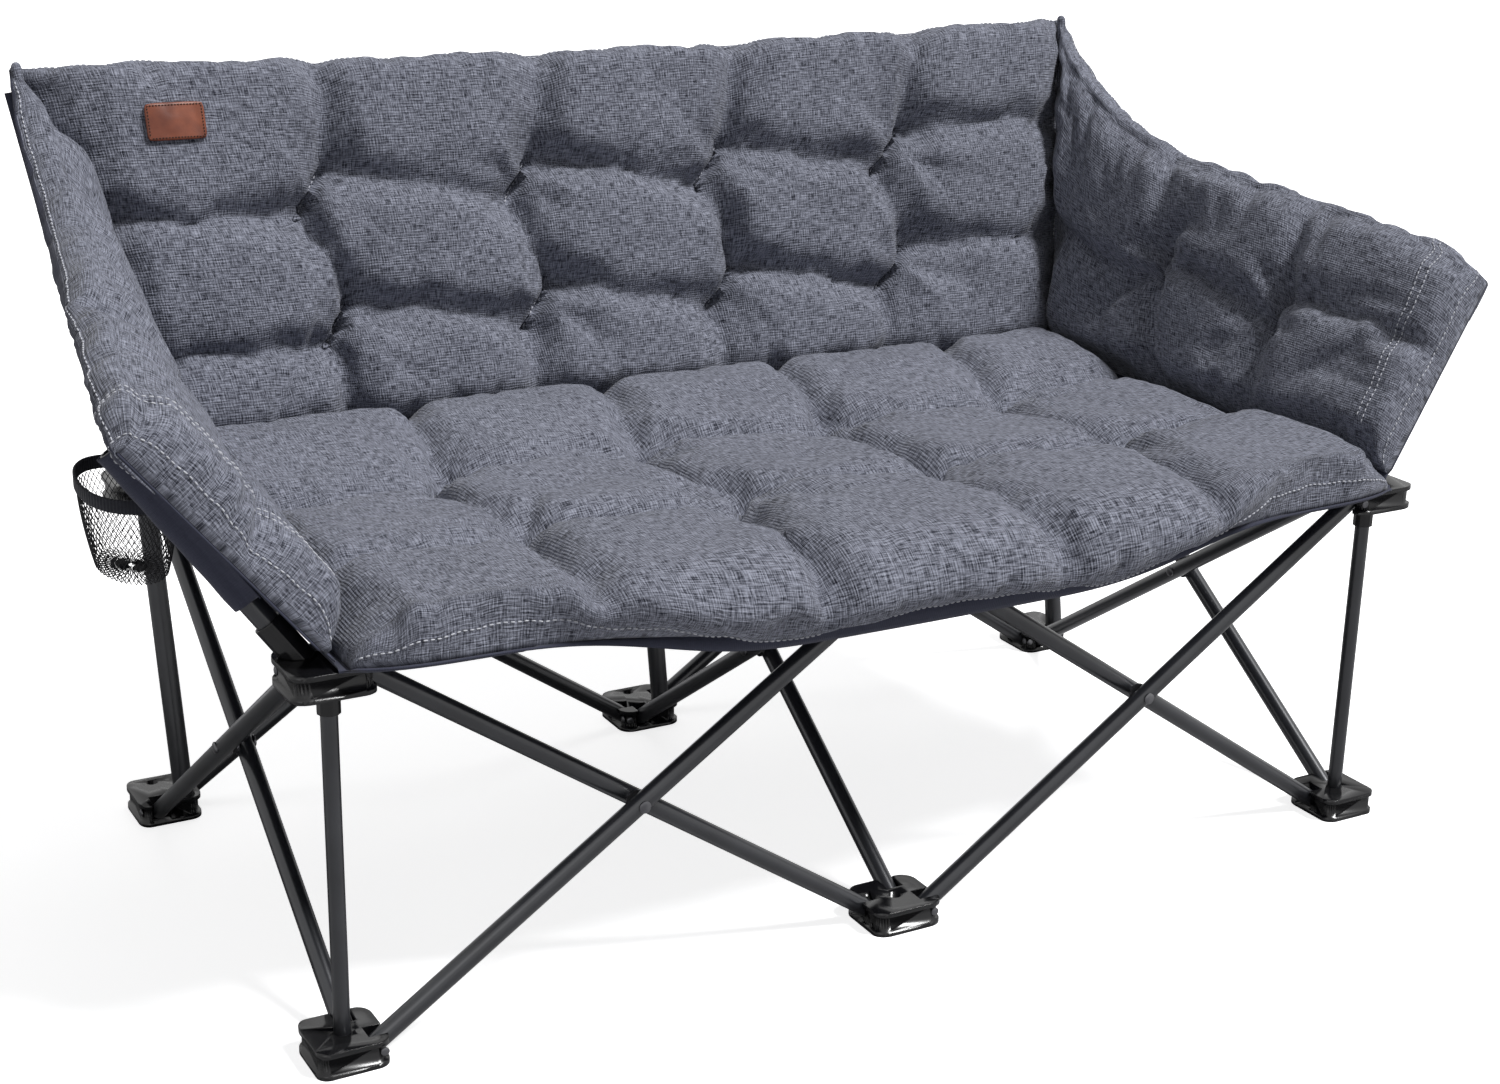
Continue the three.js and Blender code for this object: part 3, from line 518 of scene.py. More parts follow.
# How far each block stands out from its middle: inwards, outwards, frontwards and rearwards.
REACH = {
    "foot_front": (0.037, 0.034, 0.034, 0.038),
    "foot_rear": (0.037, 0.034, 0.037, 0.038),
    "hub_front": (0.037, 0.042, 0.034, 0.044),
    "hub_rear": (0.037, 0.037, 0.037, 0.043),
    "foot_front_center": (0.040, 0.040, 0.034, 0.038),
    "foot_rear_center": (0.040, 0.040, 0.037, 0.038),
    "hub_front_center": (0.040, 0.040, 0.034, 0.038),
    "hub_rear_center": (0.040, 0.040, 0.037, 0.043),
}


def block_reach(name):
    """How far the block stands out towards -X, +X, -Y and +Y."""
    inner, outer, front, rear = REACH.get(name) or REACH[name.rpartition("_")[0]]
    return (outer, inner, front, rear) if name.endswith("left") else (inner, outer, front, rear)


def drawn_towards(offset, reach, half):
    if offset <= KNEE:
        return offset
    return KNEE + (offset - KNEE) * (reach - KNEE) / (half - KNEE)


def block_piece(name):
    centre, reach = middle(name), block_reach(name)
    shape = bmesh.new()
    shape.from_mesh(frame["nodes"][name].data)
    bmesh.ops.remove_doubles(shape, verts=shape.verts, dist=2e-5)
    bmesh.ops.dissolve_limit(shape, angle_limit=math.radians(1), verts=shape.verts, edges=shape.edges)
    for corner in shape.verts:
        for axis in (0, 1):
            offset = corner.co[axis] - centre[axis]
            drawn = drawn_towards(abs(offset), reach[2 * axis + (offset > 0)], BLOCK_HALF[axis])
            corner.co[axis] = centre[axis] + math.copysign(drawn, offset)
    bmesh.ops.triangulate(shape, faces=shape.faces)
    mesh = bpy.data.meshes.new(name + "_moulding")
    shape.to_mesh(mesh)
    shape.free()
    made = smooth_object(name + "_moulding", mesh, MOULDED)
    mesh.set_sharp_from_angle(angle=math.radians(35))
    return fitted(made, name, BODY_OF[name])


def pin_heads(name, pins):
    """Rivet heads on the walls of a block, one where each leg pin ends."""
    centre, reach = middle(name), block_reach(name)
    parts = []
    for pin, across in pins:
        axis = 0 if across.x else 1
        side = 1 if pin[axis] > centre[axis] else -1
        half = BLOCK_HALF[axis]
        place = Vector(pin)
        drawn = drawn_towards(half - WEB_INSET, reach[2 * axis + (side > 0)], half)
        place[axis] = centre[axis] + side * drawn
        parts.append((*domed(place, across * side, *PIN_HEAD, 16), 0))
    made = joined_mesh(name + "_pin_heads", parts, (RIVET,))
    return fitted(made, None, BODY_OF[name])


# %% [markdown]
# On the real seat every leg ends between the walls of a foot or a hub, on a steel pin with a small head. We
# make the tubes first, look up which block each end of a leg is nearest to, and give that block its heads.

# %% Tubes, blocks and rivets in place
blocks = [name for name in frame["nodes"] if name.startswith(("foot_", "hub_"))]
pins = {name: [] for name in blocks}
tubes = []
for node_name in list(frame["nodes"]):
    kind = next((prefix for prefix in TUBES if node_name.startswith(prefix)), None)
    if kind:
        tubes.append(tube_piece(node_name, *TUBES[kind]))
    if kind and "leg" in node_name:
        low, high = axis_of(node_name)
        inwards = (high - low).normalized() * LEG_OVERHANG
        for end in (low + inwards, high - inwards):
            nearest = min(blocks, key=lambda name: (middle(name) - end).length)
            pins[nearest].append((end, leg_across(node_name)))
mouldings = [block_piece(name) for name in blocks]
heads = [pin_heads(name, pins[name]) for name in blocks]
print("tubes", len(tubes), "blocks", len(mouldings))
print("pins", sum(len(p) for p in pins.values()), "with heads on", len(heads), "blocks")

# %% [markdown]
# A pad is a loose cover over filling, held down by its edge seam and by short stitched tufts. That is a job
# for cloth simulation: we pin the seam and the tufts, let the cover grow a little in both directions, and
# blow it up gently. Real folds then run from tuft to tuft. First we need to know how far each point of the
# cover is from its edges and its stitches.

# %% Shares and distances on a cover
def rise(share, low, high, low_power=2, high_power=2):
    """From 0 at both edges to 1 inside them."""
    from_low = 1 - np.clip(1 - share / low, 0, 1) ** low_power
    from_high = 1 - np.clip(1 - (1 - share) / high, 0, 1) ** high_power
    return from_low * from_high


def stitch_distance(uv_metres, tuft):
    """Distance of each point of the cloth from a tuft's stitched line, in metres."""
    middle_point, half = tuft
    offset = uv_metres - middle_point
    along = np.clip((offset @ half) / (half @ half), -1, 1)
    return np.linalg.norm(offset - along[..., None] * half, axis=-1)


# %% [markdown]
# Tufts draw the filling in. Around each one lies a steep pit, valleys run from tuft to tuft and on to the
# edges, and small folds fan out from the thread. The CAD pads have the same pits and valleys, but coarser.

# %% Pits, valleys and folds
PRESSED, FREE = 1.35, 2.4
VALLEY_DEPTH, VALLEY_WIDTH, PIT_DEPTH, PIT_WIDTH = 0.47, 0.066, 0.24, 0.034
# Height of the folds and their distance from the thread or the seam, in metres.
FAN_FOLDS, FINE_FOLDS, EDGE_FOLDS = (0.0034, 0.045), (0.0012, 0.03), (0.0022, 0.024)
EDGES = {
    "back": ((0.061, 0.061, PRESSED, PRESSED), (0.12, 0.11, PRESSED, FREE)),
    "seat": ((0.05, 0.05, PRESSED, PRESSED), (0.06, 0.074, FREE, PRESSED)),
    "arm": ((0.095, 0.06, PRESSED, FREE), (0.16, 0.16, PRESSED, FREE)),
    "left arm": ((0.06, 0.095, FREE, PRESSED), (0.16, 0.16, PRESSED, FREE)),
}


def waver(t, seed):
    """A slow, repeatable wobble between about -1 and 1."""
    waves = ((0.5, 9.1, 1.7), (0.3, 21.7, 4.1), (0.2, 43.3, 2.3))
    return sum(size * np.sin(rate * t + shift * seed) for size, rate, shift in waves)


def crease(x):
    """A wave with sharp valleys and round ridges, and no height on average."""
    return 2 * np.abs(np.sin(x / 2)) - 4 / math.pi


def line_distance(metres, points):
    """Distance of each point of the cloth from a line through points, in metres."""
    nearest = np.full(metres.shape[:2], 9.0)
    for a, b in zip(points[:-1], points[1:]):
        span = b - a
        along = np.clip(((metres - a) @ span) / (span @ span), 0, 1)
        nearest = np.minimum(nearest, np.linalg.norm(metres - a - along[..., None] * span, axis=-1))
    return nearest


def bent(a, b, seed, sway=0.006):
    """Points from a to b along a slightly wavering line."""
    t = np.linspace(0, 1, 9)[:, None]
    side = np.array([a[1] - b[1], b[0] - a[0]]) / np.linalg.norm(b - a)
    return mix(a, b, t) + side * sway * np.sin(math.pi * t) * waver(2 * t, seed)


def valley_lines(lines, size):
    """Lines of the valleys: from each tuft to the next, and from the outer tufts to the edges."""
    rows = {}
    for centre, half in lines:
        rows.setdefault(round(float(centre[1]), 3), []).append((centre, half))
    found, seed = [], 0
    ordered = [sorted(row, key=lambda tuft: tuft[0][0]) for _, row in sorted(rows.items())]
    for row in ordered:
        way = np.sign(row[0][1][0])
        for k in range(len(row) + 1):
            left, right = np.array([0.0, row[0][0][1] - 0.02]), np.array([size[0], row[-1][0][1] + 0.02])
            if k:
                left = row[k - 1][0] + row[k - 1][1] * way
            if k < len(row):
                right = row[k][0] - row[k][1] * way
            found.append(bent(left, right, seed))
            seed += 1
    for index in range(len(ordered) + 1):
        for k in range(len(ordered[0])):
            low = ordered[index - 1][k] if index else None
            high = ordered[index][k] if index < len(ordered) else None
            start = low[0] + low[1] if low else high[0] - high[1] + np.array([0.02 * waver(k, 5), -0.2])
            end = high[0] - high[1] if high else low[0] + low[1] + np.array([0.035, 0.2])
            found.append(bent(start, end, seed))
            seed += 1
    return found


def drawn_in(metres, lines, size):
    """How much of its loft the pad loses at each point to valleys and pits."""
    near = np.min([stitch_distance(metres, line) for line in lines], axis=0)
    away = np.min([line_distance(metres, points) for points in valley_lines(lines, size)], axis=0)
    away = np.hypot(away, 0.002)
    depth = VALLEY_DEPTH + 0.24 * np.exp(-near / 0.05)
    valleys = depth * (1 - np.minimum(away / VALLEY_WIDTH, 1)) ** 2.8
    pits = PIT_DEPTH * np.exp(-((near / PIT_WIDTH) ** 2))
    return np.clip(valleys + pits, 0, 0.92), near


def fading(distance, height, peak):
    """Grows from 0 to that height at the peak and fades beyond it."""
    return height * (distance / peak) * np.exp(1 - distance / peak)


def folds(metres, lines, size):
    """Small folds that fan out from the tufts, and gathers along the sewn edges, in metres."""
    total = np.zeros(metres.shape[:2])
    for k, (centre, _) in enumerate(lines):
        offset = metres - centre
        r = np.linalg.norm(offset, axis=-1)
        turn = np.arctan2(offset[..., 1], offset[..., 0])
        fan = crease(5 * turn + 2.1 * k + 16 * r) + 0.8 * crease(7 * turn - 1.3 * k - 11 * r)
        small = np.cos(14 * turn + k + 20 * r)
        total += fan * fading(r, *FAN_FOLDS) + small * fading(r, *FINE_FOLDS)
    x, y = metres[..., 0], metres[..., 1]
    for edge_distance, along, seed in ((x, y, 2), (size[0] - x, y, 5), (y, x, 7), (size[1] - y, x, 9)):
        gathers = crease(95 * along + 6 * waver(along, seed))
        gathers += 0.6 * crease(171 * along + 7 * waver(along, seed + 1))
        total += gathers * fading(edge_distance, *EDGE_FOLDS)
    return total


# %% [markdown]
# The simulation runs on the cover alone. Pinned points stay, gravity is off, and the result is read back as
# plain points, so no cloth is left on the piece. We hold the height between the backing and the CAD pad's own
# height, because the pad has to stay in the space that the model keeps for it.

# %% Blowing up a cover
CLOTH_SETTINGS = {
    "quality": 6,
    "mass": 0.003,
    "tension_stiffness": 25,
    "compression_stiffness": 20,
    "shear_stiffness": 4,
    "bending_stiffness": 0.06,
    "air_damping": 3,
    "vertex_group_mass": "held",
    "shrink_min": -0.05,
    "use_pressure": True,
    "uniform_pressure_force": 4.0,
    "pressure_factor": 0,
}


def blow_up(points, across, up, held, frames=18):
    """The points of a cover after the simulation, in which it grows by a twentieth and swells."""
    made = mesh_object("cover", points, grid_faces(across, up), HEATHER)
    group = made.vertex_groups.new(name="held")
    for index in np.flatnonzero(held):
        group.add([int(index)], 1.0, "REPLACE")
    cloth = made.modifiers.new("cloth", "CLOTH")
    for key, value in CLOTH_SETTINGS.items():
        setattr(cloth.settings, key, value)
    cloth.settings.effector_weights.gravity = 0
    cloth.collision_settings.use_collision = False
    cloth.collision_settings.use_self_collision = False
    cloth.point_cache.frame_start = 1
    cloth.point_cache.frame_end = frames
    for step in range(1, frames + 1):
        bpy.context.scene.frame_set(step)
    shaped = made.evaluated_get(bpy.context.evaluated_depsgraph_get())
    result = np.zeros(len(points) * 3)
    shaped.data.vertices.foreach_get("co", result)
    bpy.context.scene.frame_set(1)
    bpy.data.objects.remove(made)
    return result.reshape(-1, 3)


def smooth_grid(points, across, up, held):
    grid = points.reshape(up, across, 3)
    around = (np.roll(grid, 1, 0) + np.roll(grid, -1, 0) + np.roll(grid, 1, 1) + np.roll(grid, -1, 1)) / 4
    free = ~held.reshape(up, across)[..., None]
    return np.where(free, mix(grid, around, 0.5), grid).reshape(-1, 3)


# %% [markdown]
# A finished pad is a closed form: the blown cover in front, a flat back against its backing cloth, and the
# seam between. One function makes all of them, so back, seat and arms differ only in their values. At a free
# edge the filling stands out a little past the seam, most between two tufts.

# %% A tufted pad
COVERS = {}


def tangents(surface, u, v):
    return [unit(step) for step in steps(surface, u, v)]


def overhang(distance, reach):
    t = np.clip(distance / reach, 0, 1)
    return 6.75 * t * (1 - t) ** 2


def cloth_lengths(cover, across, up):
    """Metres of cloth along the rows and columns, so that the weave isn't stretched on steep sides."""
    grid = cover.reshape(up, across, 3)
    along = np.linalg.norm(np.diff(grid, axis=1), axis=2).mean(0)
    upward = np.linalg.norm(np.diff(grid, axis=0), axis=2).mean(1)
    return np.stack(np.meshgrid(np.r_[0, np.cumsum(along)], np.r_[0, np.cumsum(upward)]), -1)


def closed_sheet(name, front, rear, across, up, uv, material):
    """A closed form between two grids of points that are joined round their edges."""
    ring = np.r_[np.arange(across), np.arange(1, up) * across + across - 1,
                 (up - 1) * across + np.arange(across - 2, -1, -1), np.arange(up - 2, 0, -1) * across]
    count = across * up
    following = np.roll(ring, -1)
    walls = np.stack([ring + count, following + count, following, ring], 1)
    faces = np.r_[grid_faces(across, up), grid_faces(across, up, count, True), walls]
    made = mesh_object(name, np.r_[front, rear], faces, material)
    set_uv(made, np.tile(uv.reshape(-1, 2), (2, 1)))
    return made


SPACING, BULGE_REACH, TUFT_SHARE, STITCH_REACH, UNDERSIDE = 0.0075, 0.085, 0.14, 0.55, 0.0004
ROLL_ROWS, SIDE_ROWS, PLAIN_ROLL_ROWS = 8, 7, 2
ROLL_STEP, SIDE_DEPTH, SIDE_GAP, ROLL_TRAVEL = 0.007, 0.046, 0.0030, 0.005


def rolled_over(surface, u, lift, swell, width):
    """Rows that carry a cover over its top edge and down the outer side, and the rows under them."""
    edge = np.ones_like(u)
    top, normal = surface(u, edge), normals(surface, u, edge)
    upward = tangents(surface, u, edge)[1]
    outer = -mix(0.004, 0.010, swell)
    centre, reach = (lift + outer) / 2, (lift - outer) / 2
    gathers = crease(120 * u * width + 4 * waver(u, 3)) + 0.6 * crease(205 * u * width + 6 * waver(u, 6))
    over, under = [], []
    for k in range(1, ROLL_ROWS + 1):
        turn = math.pi * (0.5 - k / ROLL_ROWS)
        standing = (mix(0.003, 0.018, swell) + 0.0016 * gathers * swell) * math.cos(turn)
        lifted = centre + reach * math.sin(turn)
        over.append(top + upward * standing[:, None] + normal * lifted[:, None])
        sunk = mix(UNDERSIDE, -SIDE_GAP, k / ROLL_ROWS)
        under.append(top + upward * (0.0015 * math.cos(turn)) + normal * sunk)
    for k in range(1, SIDE_ROWS + 1):
        t = k / SIDE_ROWS
        down = SIDE_DEPTH * t
        puff = outer * (1 + 0.35 * math.sin(math.pi * t)) * (1 - t**3) - 0.0040 * t**3
        over.append(top - upward * down + normal * puff[:, None])
        under.append(top - upward * down - normal * SIDE_GAP)
    return np.array(over), np.array(under)


def start_heights(metres, u, v, loft, lines, edges, size, rolled):
    """Heights of a cover before it is blown up, how far it is drawn in, and which points are stitched."""
    drawn, near = drawn_in(metres, lines, size)
    inside = rise(u, *edges[0])
    if rolled:
        low, high, low_power, high_power = edges[1]
        shoulder = 1 - (1 - rolled) * np.clip(1 - (1 - v) / high, 0, 1) ** high_power
        inside = inside * (1 - np.clip(1 - v / low, 0, 1) ** low_power) * shoulder
    else:
        inside = inside * rise(v, *edges[1])
    heights = SEAM + (loft - SEAM) * inside * (1 - drawn) + folds(metres, lines, size) * inside**0.3
    return heights, drawn, near < STITCH_REACH * SPACING


def held_in_space(cover, points, base, normal, loft):
    """Keep a blown cover near the CAD pad's height, and its roll near where it started."""
    front = len(base)
    lift = ((cover[:front] - base) * normal).sum(1)
    capped = np.where(lift > loft, loft + 0.35 * (lift - loft), lift)
    capped = np.minimum(np.maximum(capped, 0.003), loft + 0.01)
    cover[:front] += normal * (capped - lift)[:, None]
    moved = cover[front:] - points[front:]
    length = np.maximum(np.linalg.norm(moved, axis=1, keepdims=True), 1e-9)
    cover[front:] = points[front:] + moved * np.minimum(1, ROLL_TRAVEL / length)
    return round(float(capped.max()) * 1000)


def tufted_pad(name, surface, loft, tufts, node_name, body, edges, bulges, rolled=0.0):
    """edges are the shares over which the pad rises; bulges are metres past the start, end, bottom and top.
    rolled is the share of the loft that is left where the pad rolls over its top edge."""
    width, height = side_lengths(surface)
    across, up = round(width / SPACING) + 1, round(height / SPACING) + 1
    u, v = shares(across, up)
    base, normal = surface(u, v), normals(surface, u, v)
    metres = np.stack([u * width, v * height], -1)
    lines = [(np.array(c) * (width, height), np.array(h)) for c, h in tufts]
    start, drawn, stitched = start_heights(metres, u, v, loft, lines, edges, (width, height), rolled)
    held = np.zeros_like(u, bool)
    held[[0] if rolled else [0, -1], :] = True
    held[:, [0, -1]] = True
    start[stitched] = TUFT_SHARE * loft
    start[held] = SEAM
    held |= stitched
    along, upward = tangents(surface, u, v)
    from_edges = (metres[..., 0], width - metres[..., 0], metres[..., 1], height - metres[..., 1])
    out = np.zeros_like(base)
    for bulge, distance, way in zip(bulges, from_edges, (-along, along, -upward, upward)):
        out += way * (bulge * overhang(distance, BULGE_REACH) * (1 - 1.4 * drawn))[..., None]
    points, under = base + out + normal * start[..., None], base + normal * UNDERSIDE
    span, rows = up - 1, up
    if rolled:
        swell = rise(u[0], *edges[0]) * (1 - 0.6 * drawn[-8])
        over, below = rolled_over(surface, u[0], start[-1], swell, width)
        points, under = np.r_[points, over], np.r_[under, below]
        fixed = np.zeros((len(over), across), bool)
        fixed[:, [0, -1]] = True
        fixed[[ROLL_ROWS - 1, -1]] = True
        held = np.r_[held, fixed]
        rows += len(over)
        height += ROLL_STEP * ROLL_ROWS + SIDE_DEPTH
    points, under, held = points.reshape(-1, 3), under.reshape(-1, 3), held.ravel()
    cover = blow_up(points, across, rows, held)
    cover = smooth_grid(cover, across, rows, held)
    lifted = held_in_space(cover, points, base.reshape(-1, 3), normal.reshape(-1, 3), loft)
    pad = closed_sheet(name, cover, under, across, rows, cloth_lengths(cover, across, rows), HEATHER)
    if rolled:
        pad.data.materials.append(PLAIN)
        plain_from = (rows - 1 - SIDE_ROWS - PLAIN_ROLL_ROWS) * (across - 1)
        for face in pad.data.polygons[plain_from:(rows - 1) * (across - 1)]:
            face.material_index = 1
    COVERS[name] = {
        "points": cover.reshape(rows, across, 3),
        "size": (width, height),
        "span": span / (rows - 1),
        "ridge": (span + ROLL_ROWS - PLAIN_ROLL_ROWS - 0.8) / (rows - 1),
    }
    print(name, across, "x", rows, "cover, lift up to", lifted, "mm")
    return fitted(pad, node_name, body)


# %% [markdown]
# The back has two rows of tufts, each a slanting stitched line as long as a finger. The photograph gives
# their places: a fifth of the way in from each side and again towards the middle, at two heights.

# %% The padded back
def slanted_tufts(across, up, half):
    """The middle of each tuft in shares, and half its stitched line in metres."""
    return [((u, v), half) for v in up for u in across]


BACK_TUFTS = slanted_tufts((0.212, 0.404, 0.596, 0.788), (0.31, 0.655), (0.018, 0.025))
BACK_BULGES = (0.004, 0.004, 0.006, 0.018)
back = tufted_pad(
    "back_pad", back_surface, 0.062, BACK_TUFTS, "back_cushion", "hub_rear_center",
    EDGES["back"], BACK_BULGES)

# %% [markdown]
# The seat has two rows of four tufts too. Words laid over the photograph hide some of them, so their places
# follow the row that shows. Its front edge rolls down over the front hubs.

# %% The padded seat
SEAT_TUFTS = slanted_tufts((0.2, 0.4, 0.6, 0.8), (0.36, 0.68), (0.016, 0.022))
SEAT_BULGES = (0.006, 0.006, 0.0, 0.0)
seat = tufted_pad(
    "seat_pad", seat_surface, 0.058, SEAT_TUFTS, "seat_cushion", "hub_front_center",
    EDGES["seat"], SEAT_BULGES)

# %% [markdown]
# Each arm is a padded wing with two tufts. It rolls over its bow at the top and a little way down outside.
# The left arm mirrors the right one, and its shares run the other way, so its values change places.

# %% The padded arms
ARM_LOFT, ARM_ROLL = 0.052, 0.5
ARM_TUFTS = slanted_tufts((0.4, 0.7), (0.51,), (0.008, 0.02))
LEFT_ARM_TUFTS = slanted_tufts((0.6, 0.3), (0.51,), (-0.008, 0.02))
arm_right = tufted_pad(
    "arm_pad_right", arm_surface, ARM_LOFT, ARM_TUFTS, "arm_cushion_right", "hub_front_right",
    EDGES["arm"], (0.004, 0.014, 0.005, 0.0), ARM_ROLL)
arm_left = tufted_pad(
    "arm_pad_left", left_arm_surface, ARM_LOFT, LEFT_ARM_TUFTS, "arm_cushion_left", "hub_front_left",
    EDGES["left arm"], (0.014, 0.004, 0.005, 0.0), ARM_ROLL)

# %% [markdown]
# Behind each pad lies a plain, darker cloth that carries the load. It is cut flat and stretched from hub to
# pole, so it is built as a thin sheet that runs a little past the pad where the two are sewn together.

# %% Backing cloths
SHEET_FACES = (0.0002, 0.0024)


def backing(name, surface, node_name, body, grid, below=0.0, start=0.0, end=1.0, skirt=0.0):
    """below, start, end and skirt carry the cloth a little past its pad, to where it is sewn down."""
    across, up = grid
    u, v = shares(across, up)
    lower = 1 - smoothstep(v, 0.55, 0.95)
    u = mix(start * lower, 1 + (end - 1) * lower, u)
    v = mix(-below - skirt * np.sin(math.pi * np.clip(u, 0, 1)) ** 2, 1, v)
    base, normal = surface(u, v), normals(surface, u, v)
    width, height = side_lengths(surface)
    inner, outer = ((base - normal * depth).reshape(-1, 3) for depth in SHEET_FACES)
    made = closed_sheet(name, inner, outer, across, up, np.stack([u * width, v * height], -1), PLAIN)
    print(name, "flat", round(width, 3), "by", round(height, 3))
    return fitted(made, node_name, body)


back_cloth = backing("back_cloth", back_surface, "back_panel", "hub_rear_center", (90, 40))
seat_cloth = backing(
    "seat_cloth", seat_surface, "seat_sling", "hub_front_center", (90, 60),
    below=0.03, start=-0.008, end=1.008, skirt=0.035)
arm_cloth_right = backing(
    "arm_cloth_right", arm_surface, "arm_panel_right", "hub_front_right", (60, 30),
    below=0.04, start=-0.018, skirt=0.06)
arm_cloth_left = backing(
    "arm_cloth_left", left_arm_surface, "arm_panel_left", "hub_front_left", (60, 30),
    below=0.04, end=1.018, skirt=0.06)

# %% [markdown]
# The brown patch is a small rounded piece of leather with a stitched border. It is left bare. It lies on the
# puffed cover, so we drop its points onto the cover from in front.

# %% The leather patch
PATCH_SPOT, PATCH_HALF, LEATHER_THICKNESS = (0.105, 0.84), (0.032, 0.020), 0.0022


def on_cover(tree, point, direction, reach=0.15):
    hit = tree.ray_cast(point + direction * reach, -direction, 2 * reach)[0]
    return hit if hit is not None else point


def patch_axes():
    """Where the middle of the patch lies, and its right, upward and outward directions."""
    u, v = (np.array([share]) for share in PATCH_SPOT)
    outward = Vector(normals(back_surface, u, v)[0])
    right = Vector((1, 0, 0))
    return Vector(back_surface(u, v)[0]), right, outward.cross(right), outward


def patch():
    spot, right, upward, outward = patch_axes()
    cover = COVERS["back_pad"]["points"]
    faces = [tuple(map(int, face)) for face in grid_faces(cover.shape[1], cover.shape[0])]
    tree = BVHTree.FromPolygons([Vector(p) for p in cover.reshape(-1, 3)], faces)
    across, up = 25, 17
    points = []
    for b in np.linspace(-1, 1, up):
        for a in np.linspace(-1, 1, across):
            pull = 1 - 0.06 * (abs(a) * abs(b)) ** 6
            place = spot + right * (PATCH_HALF[0] * a * pull) + upward * (PATCH_HALF[1] * b * pull)
            points.append(on_cover(tree, place, outward) + outward * LEATHER_THICKNESS)
    made = mesh_object("leather_patch_piece", points, grid_faces(across, up), LEATHER)
    thickened(made, LEATHER_THICKNESS)
    return fitted(made, "leather_patch", "hub_rear_center")


def patch_border(inset=0.0026):
    """Points round the patch, a little inside its edge, that lie on its face."""
    _, right, upward, outward = patch_axes()
    points = [v.co for v in leather_patch.data.vertices]
    tree = BVHTree.FromPolygons(points, [tuple(p.vertices) for p in leather_patch.data.polygons])
    centre = sum(points, Vector()) / len(points)
    x, y = (half - inset for half in PATCH_HALF)
    corners = [(-x, -y), (x, -y), (x, y), (-x, y)]
    run = []
    for (ax, ay), (bx, by) in zip(corners, corners[1:] + corners[:1]):
        for t in np.linspace(0, 1, 24, endpoint=False):
            place = centre + right * mix(ax, bx, t) + upward * mix(ay, by, t)
            run.append((on_cover(tree, place, outward, 0.05) + outward * 0.0002, outward))
    return run + run[:1]


leather_patch = patch()
print("patch", [round(d, 4) for d in leather_patch.dimensions])

# %% [markdown]
# Sleeves hold the poles against the backing. A sleeve is a strip that arches over its pole and lies flat on
# both sides, where it is sewn down.

# %% Sleeves over the poles
SLEEVE_RADIUS, FLANGE, SLEEVE_CLOTH = 0.0136, 0.014, 0.0012
COLUMNS = ("left", "center", "right")


def sleeve(name, node_name, body, line, out, radius=SLEEVE_RADIUS, rows=49):
    """A strip along a line that arches over a round pole on the side that out points to."""
    start, end = (Vector(point) for point in line)
    length = (end - start).length
    along = (end - start).normalized()
    side = along.cross(Vector(out).normalized()).normalized()
    out = side.cross(along).normalized()
    turns = np.linspace(-0.5 * math.pi, 0.5 * math.pi, 15)
    foot = [(radius + 0.004, 0.0010 - radius), (radius + FLANGE, 0.0006 - radius)]
    profile = [(-a, b) for a, b in foot[::-1]]
    profile += [(radius * math.sin(turn), radius * math.cos(turn)) for turn in turns] + foot
    points, uv = [], []
    for t in np.linspace(0, 1, rows):
        pull = 1 + 0.035 * math.sin(19 * t) * math.sin(7 * t + 1)
        centre = start + along * (length * t)
        points += [centre + side * a + out * (b * pull if b > 0 else b) for a, b in profile]
        uv += [(i * 0.004, length * t) for i in range(len(profile))]
    made = mesh_object(name, points, grid_faces(len(profile), rows), PLAIN)
    set_uv(made, np.array(uv))
    thickened(made, SLEEVE_CLOTH)
    return fitted(made, node_name, body)


def centre_line(node_name, low_share):
    """A pole's axis from a share of its height up to its top."""
    low, high = (np.array(end) for end in axis_of(node_name))
    return mix(low, high, low_share), high


def outwards(surface, u):
    return -normals(surface, np.array([u]), np.array([0.5]))[0]


for column in COLUMNS:
    line = centre_line(f"back_pole_{column}", 0.2)
    name = f"pole_sleeve_cloth_{column}"
    sleeve(name, f"pole_sleeve_{column}", f"hub_rear_{column}", line, outwards(back_surface, 0.5))
for side, surface, station in (("left", left_arm_surface, 0.07), ("right", arm_surface, 0.93)):
    line = centre_line(f"arm_bow_{side}", 0.24)
    name = f"bow_sleeve_cloth_{side}"
    sleeve(name, f"bow_sleeve_{side}", f"hub_front_{side}", line, outwards(surface, station))

# %% [markdown]
# The pocket is a bag of knotted net under a band of cloth. The net is a lattice laid on the pocket's own
# shape: we build the shape as a grid of slanting cells and let the Wireframe modifier turn its edges to cord.

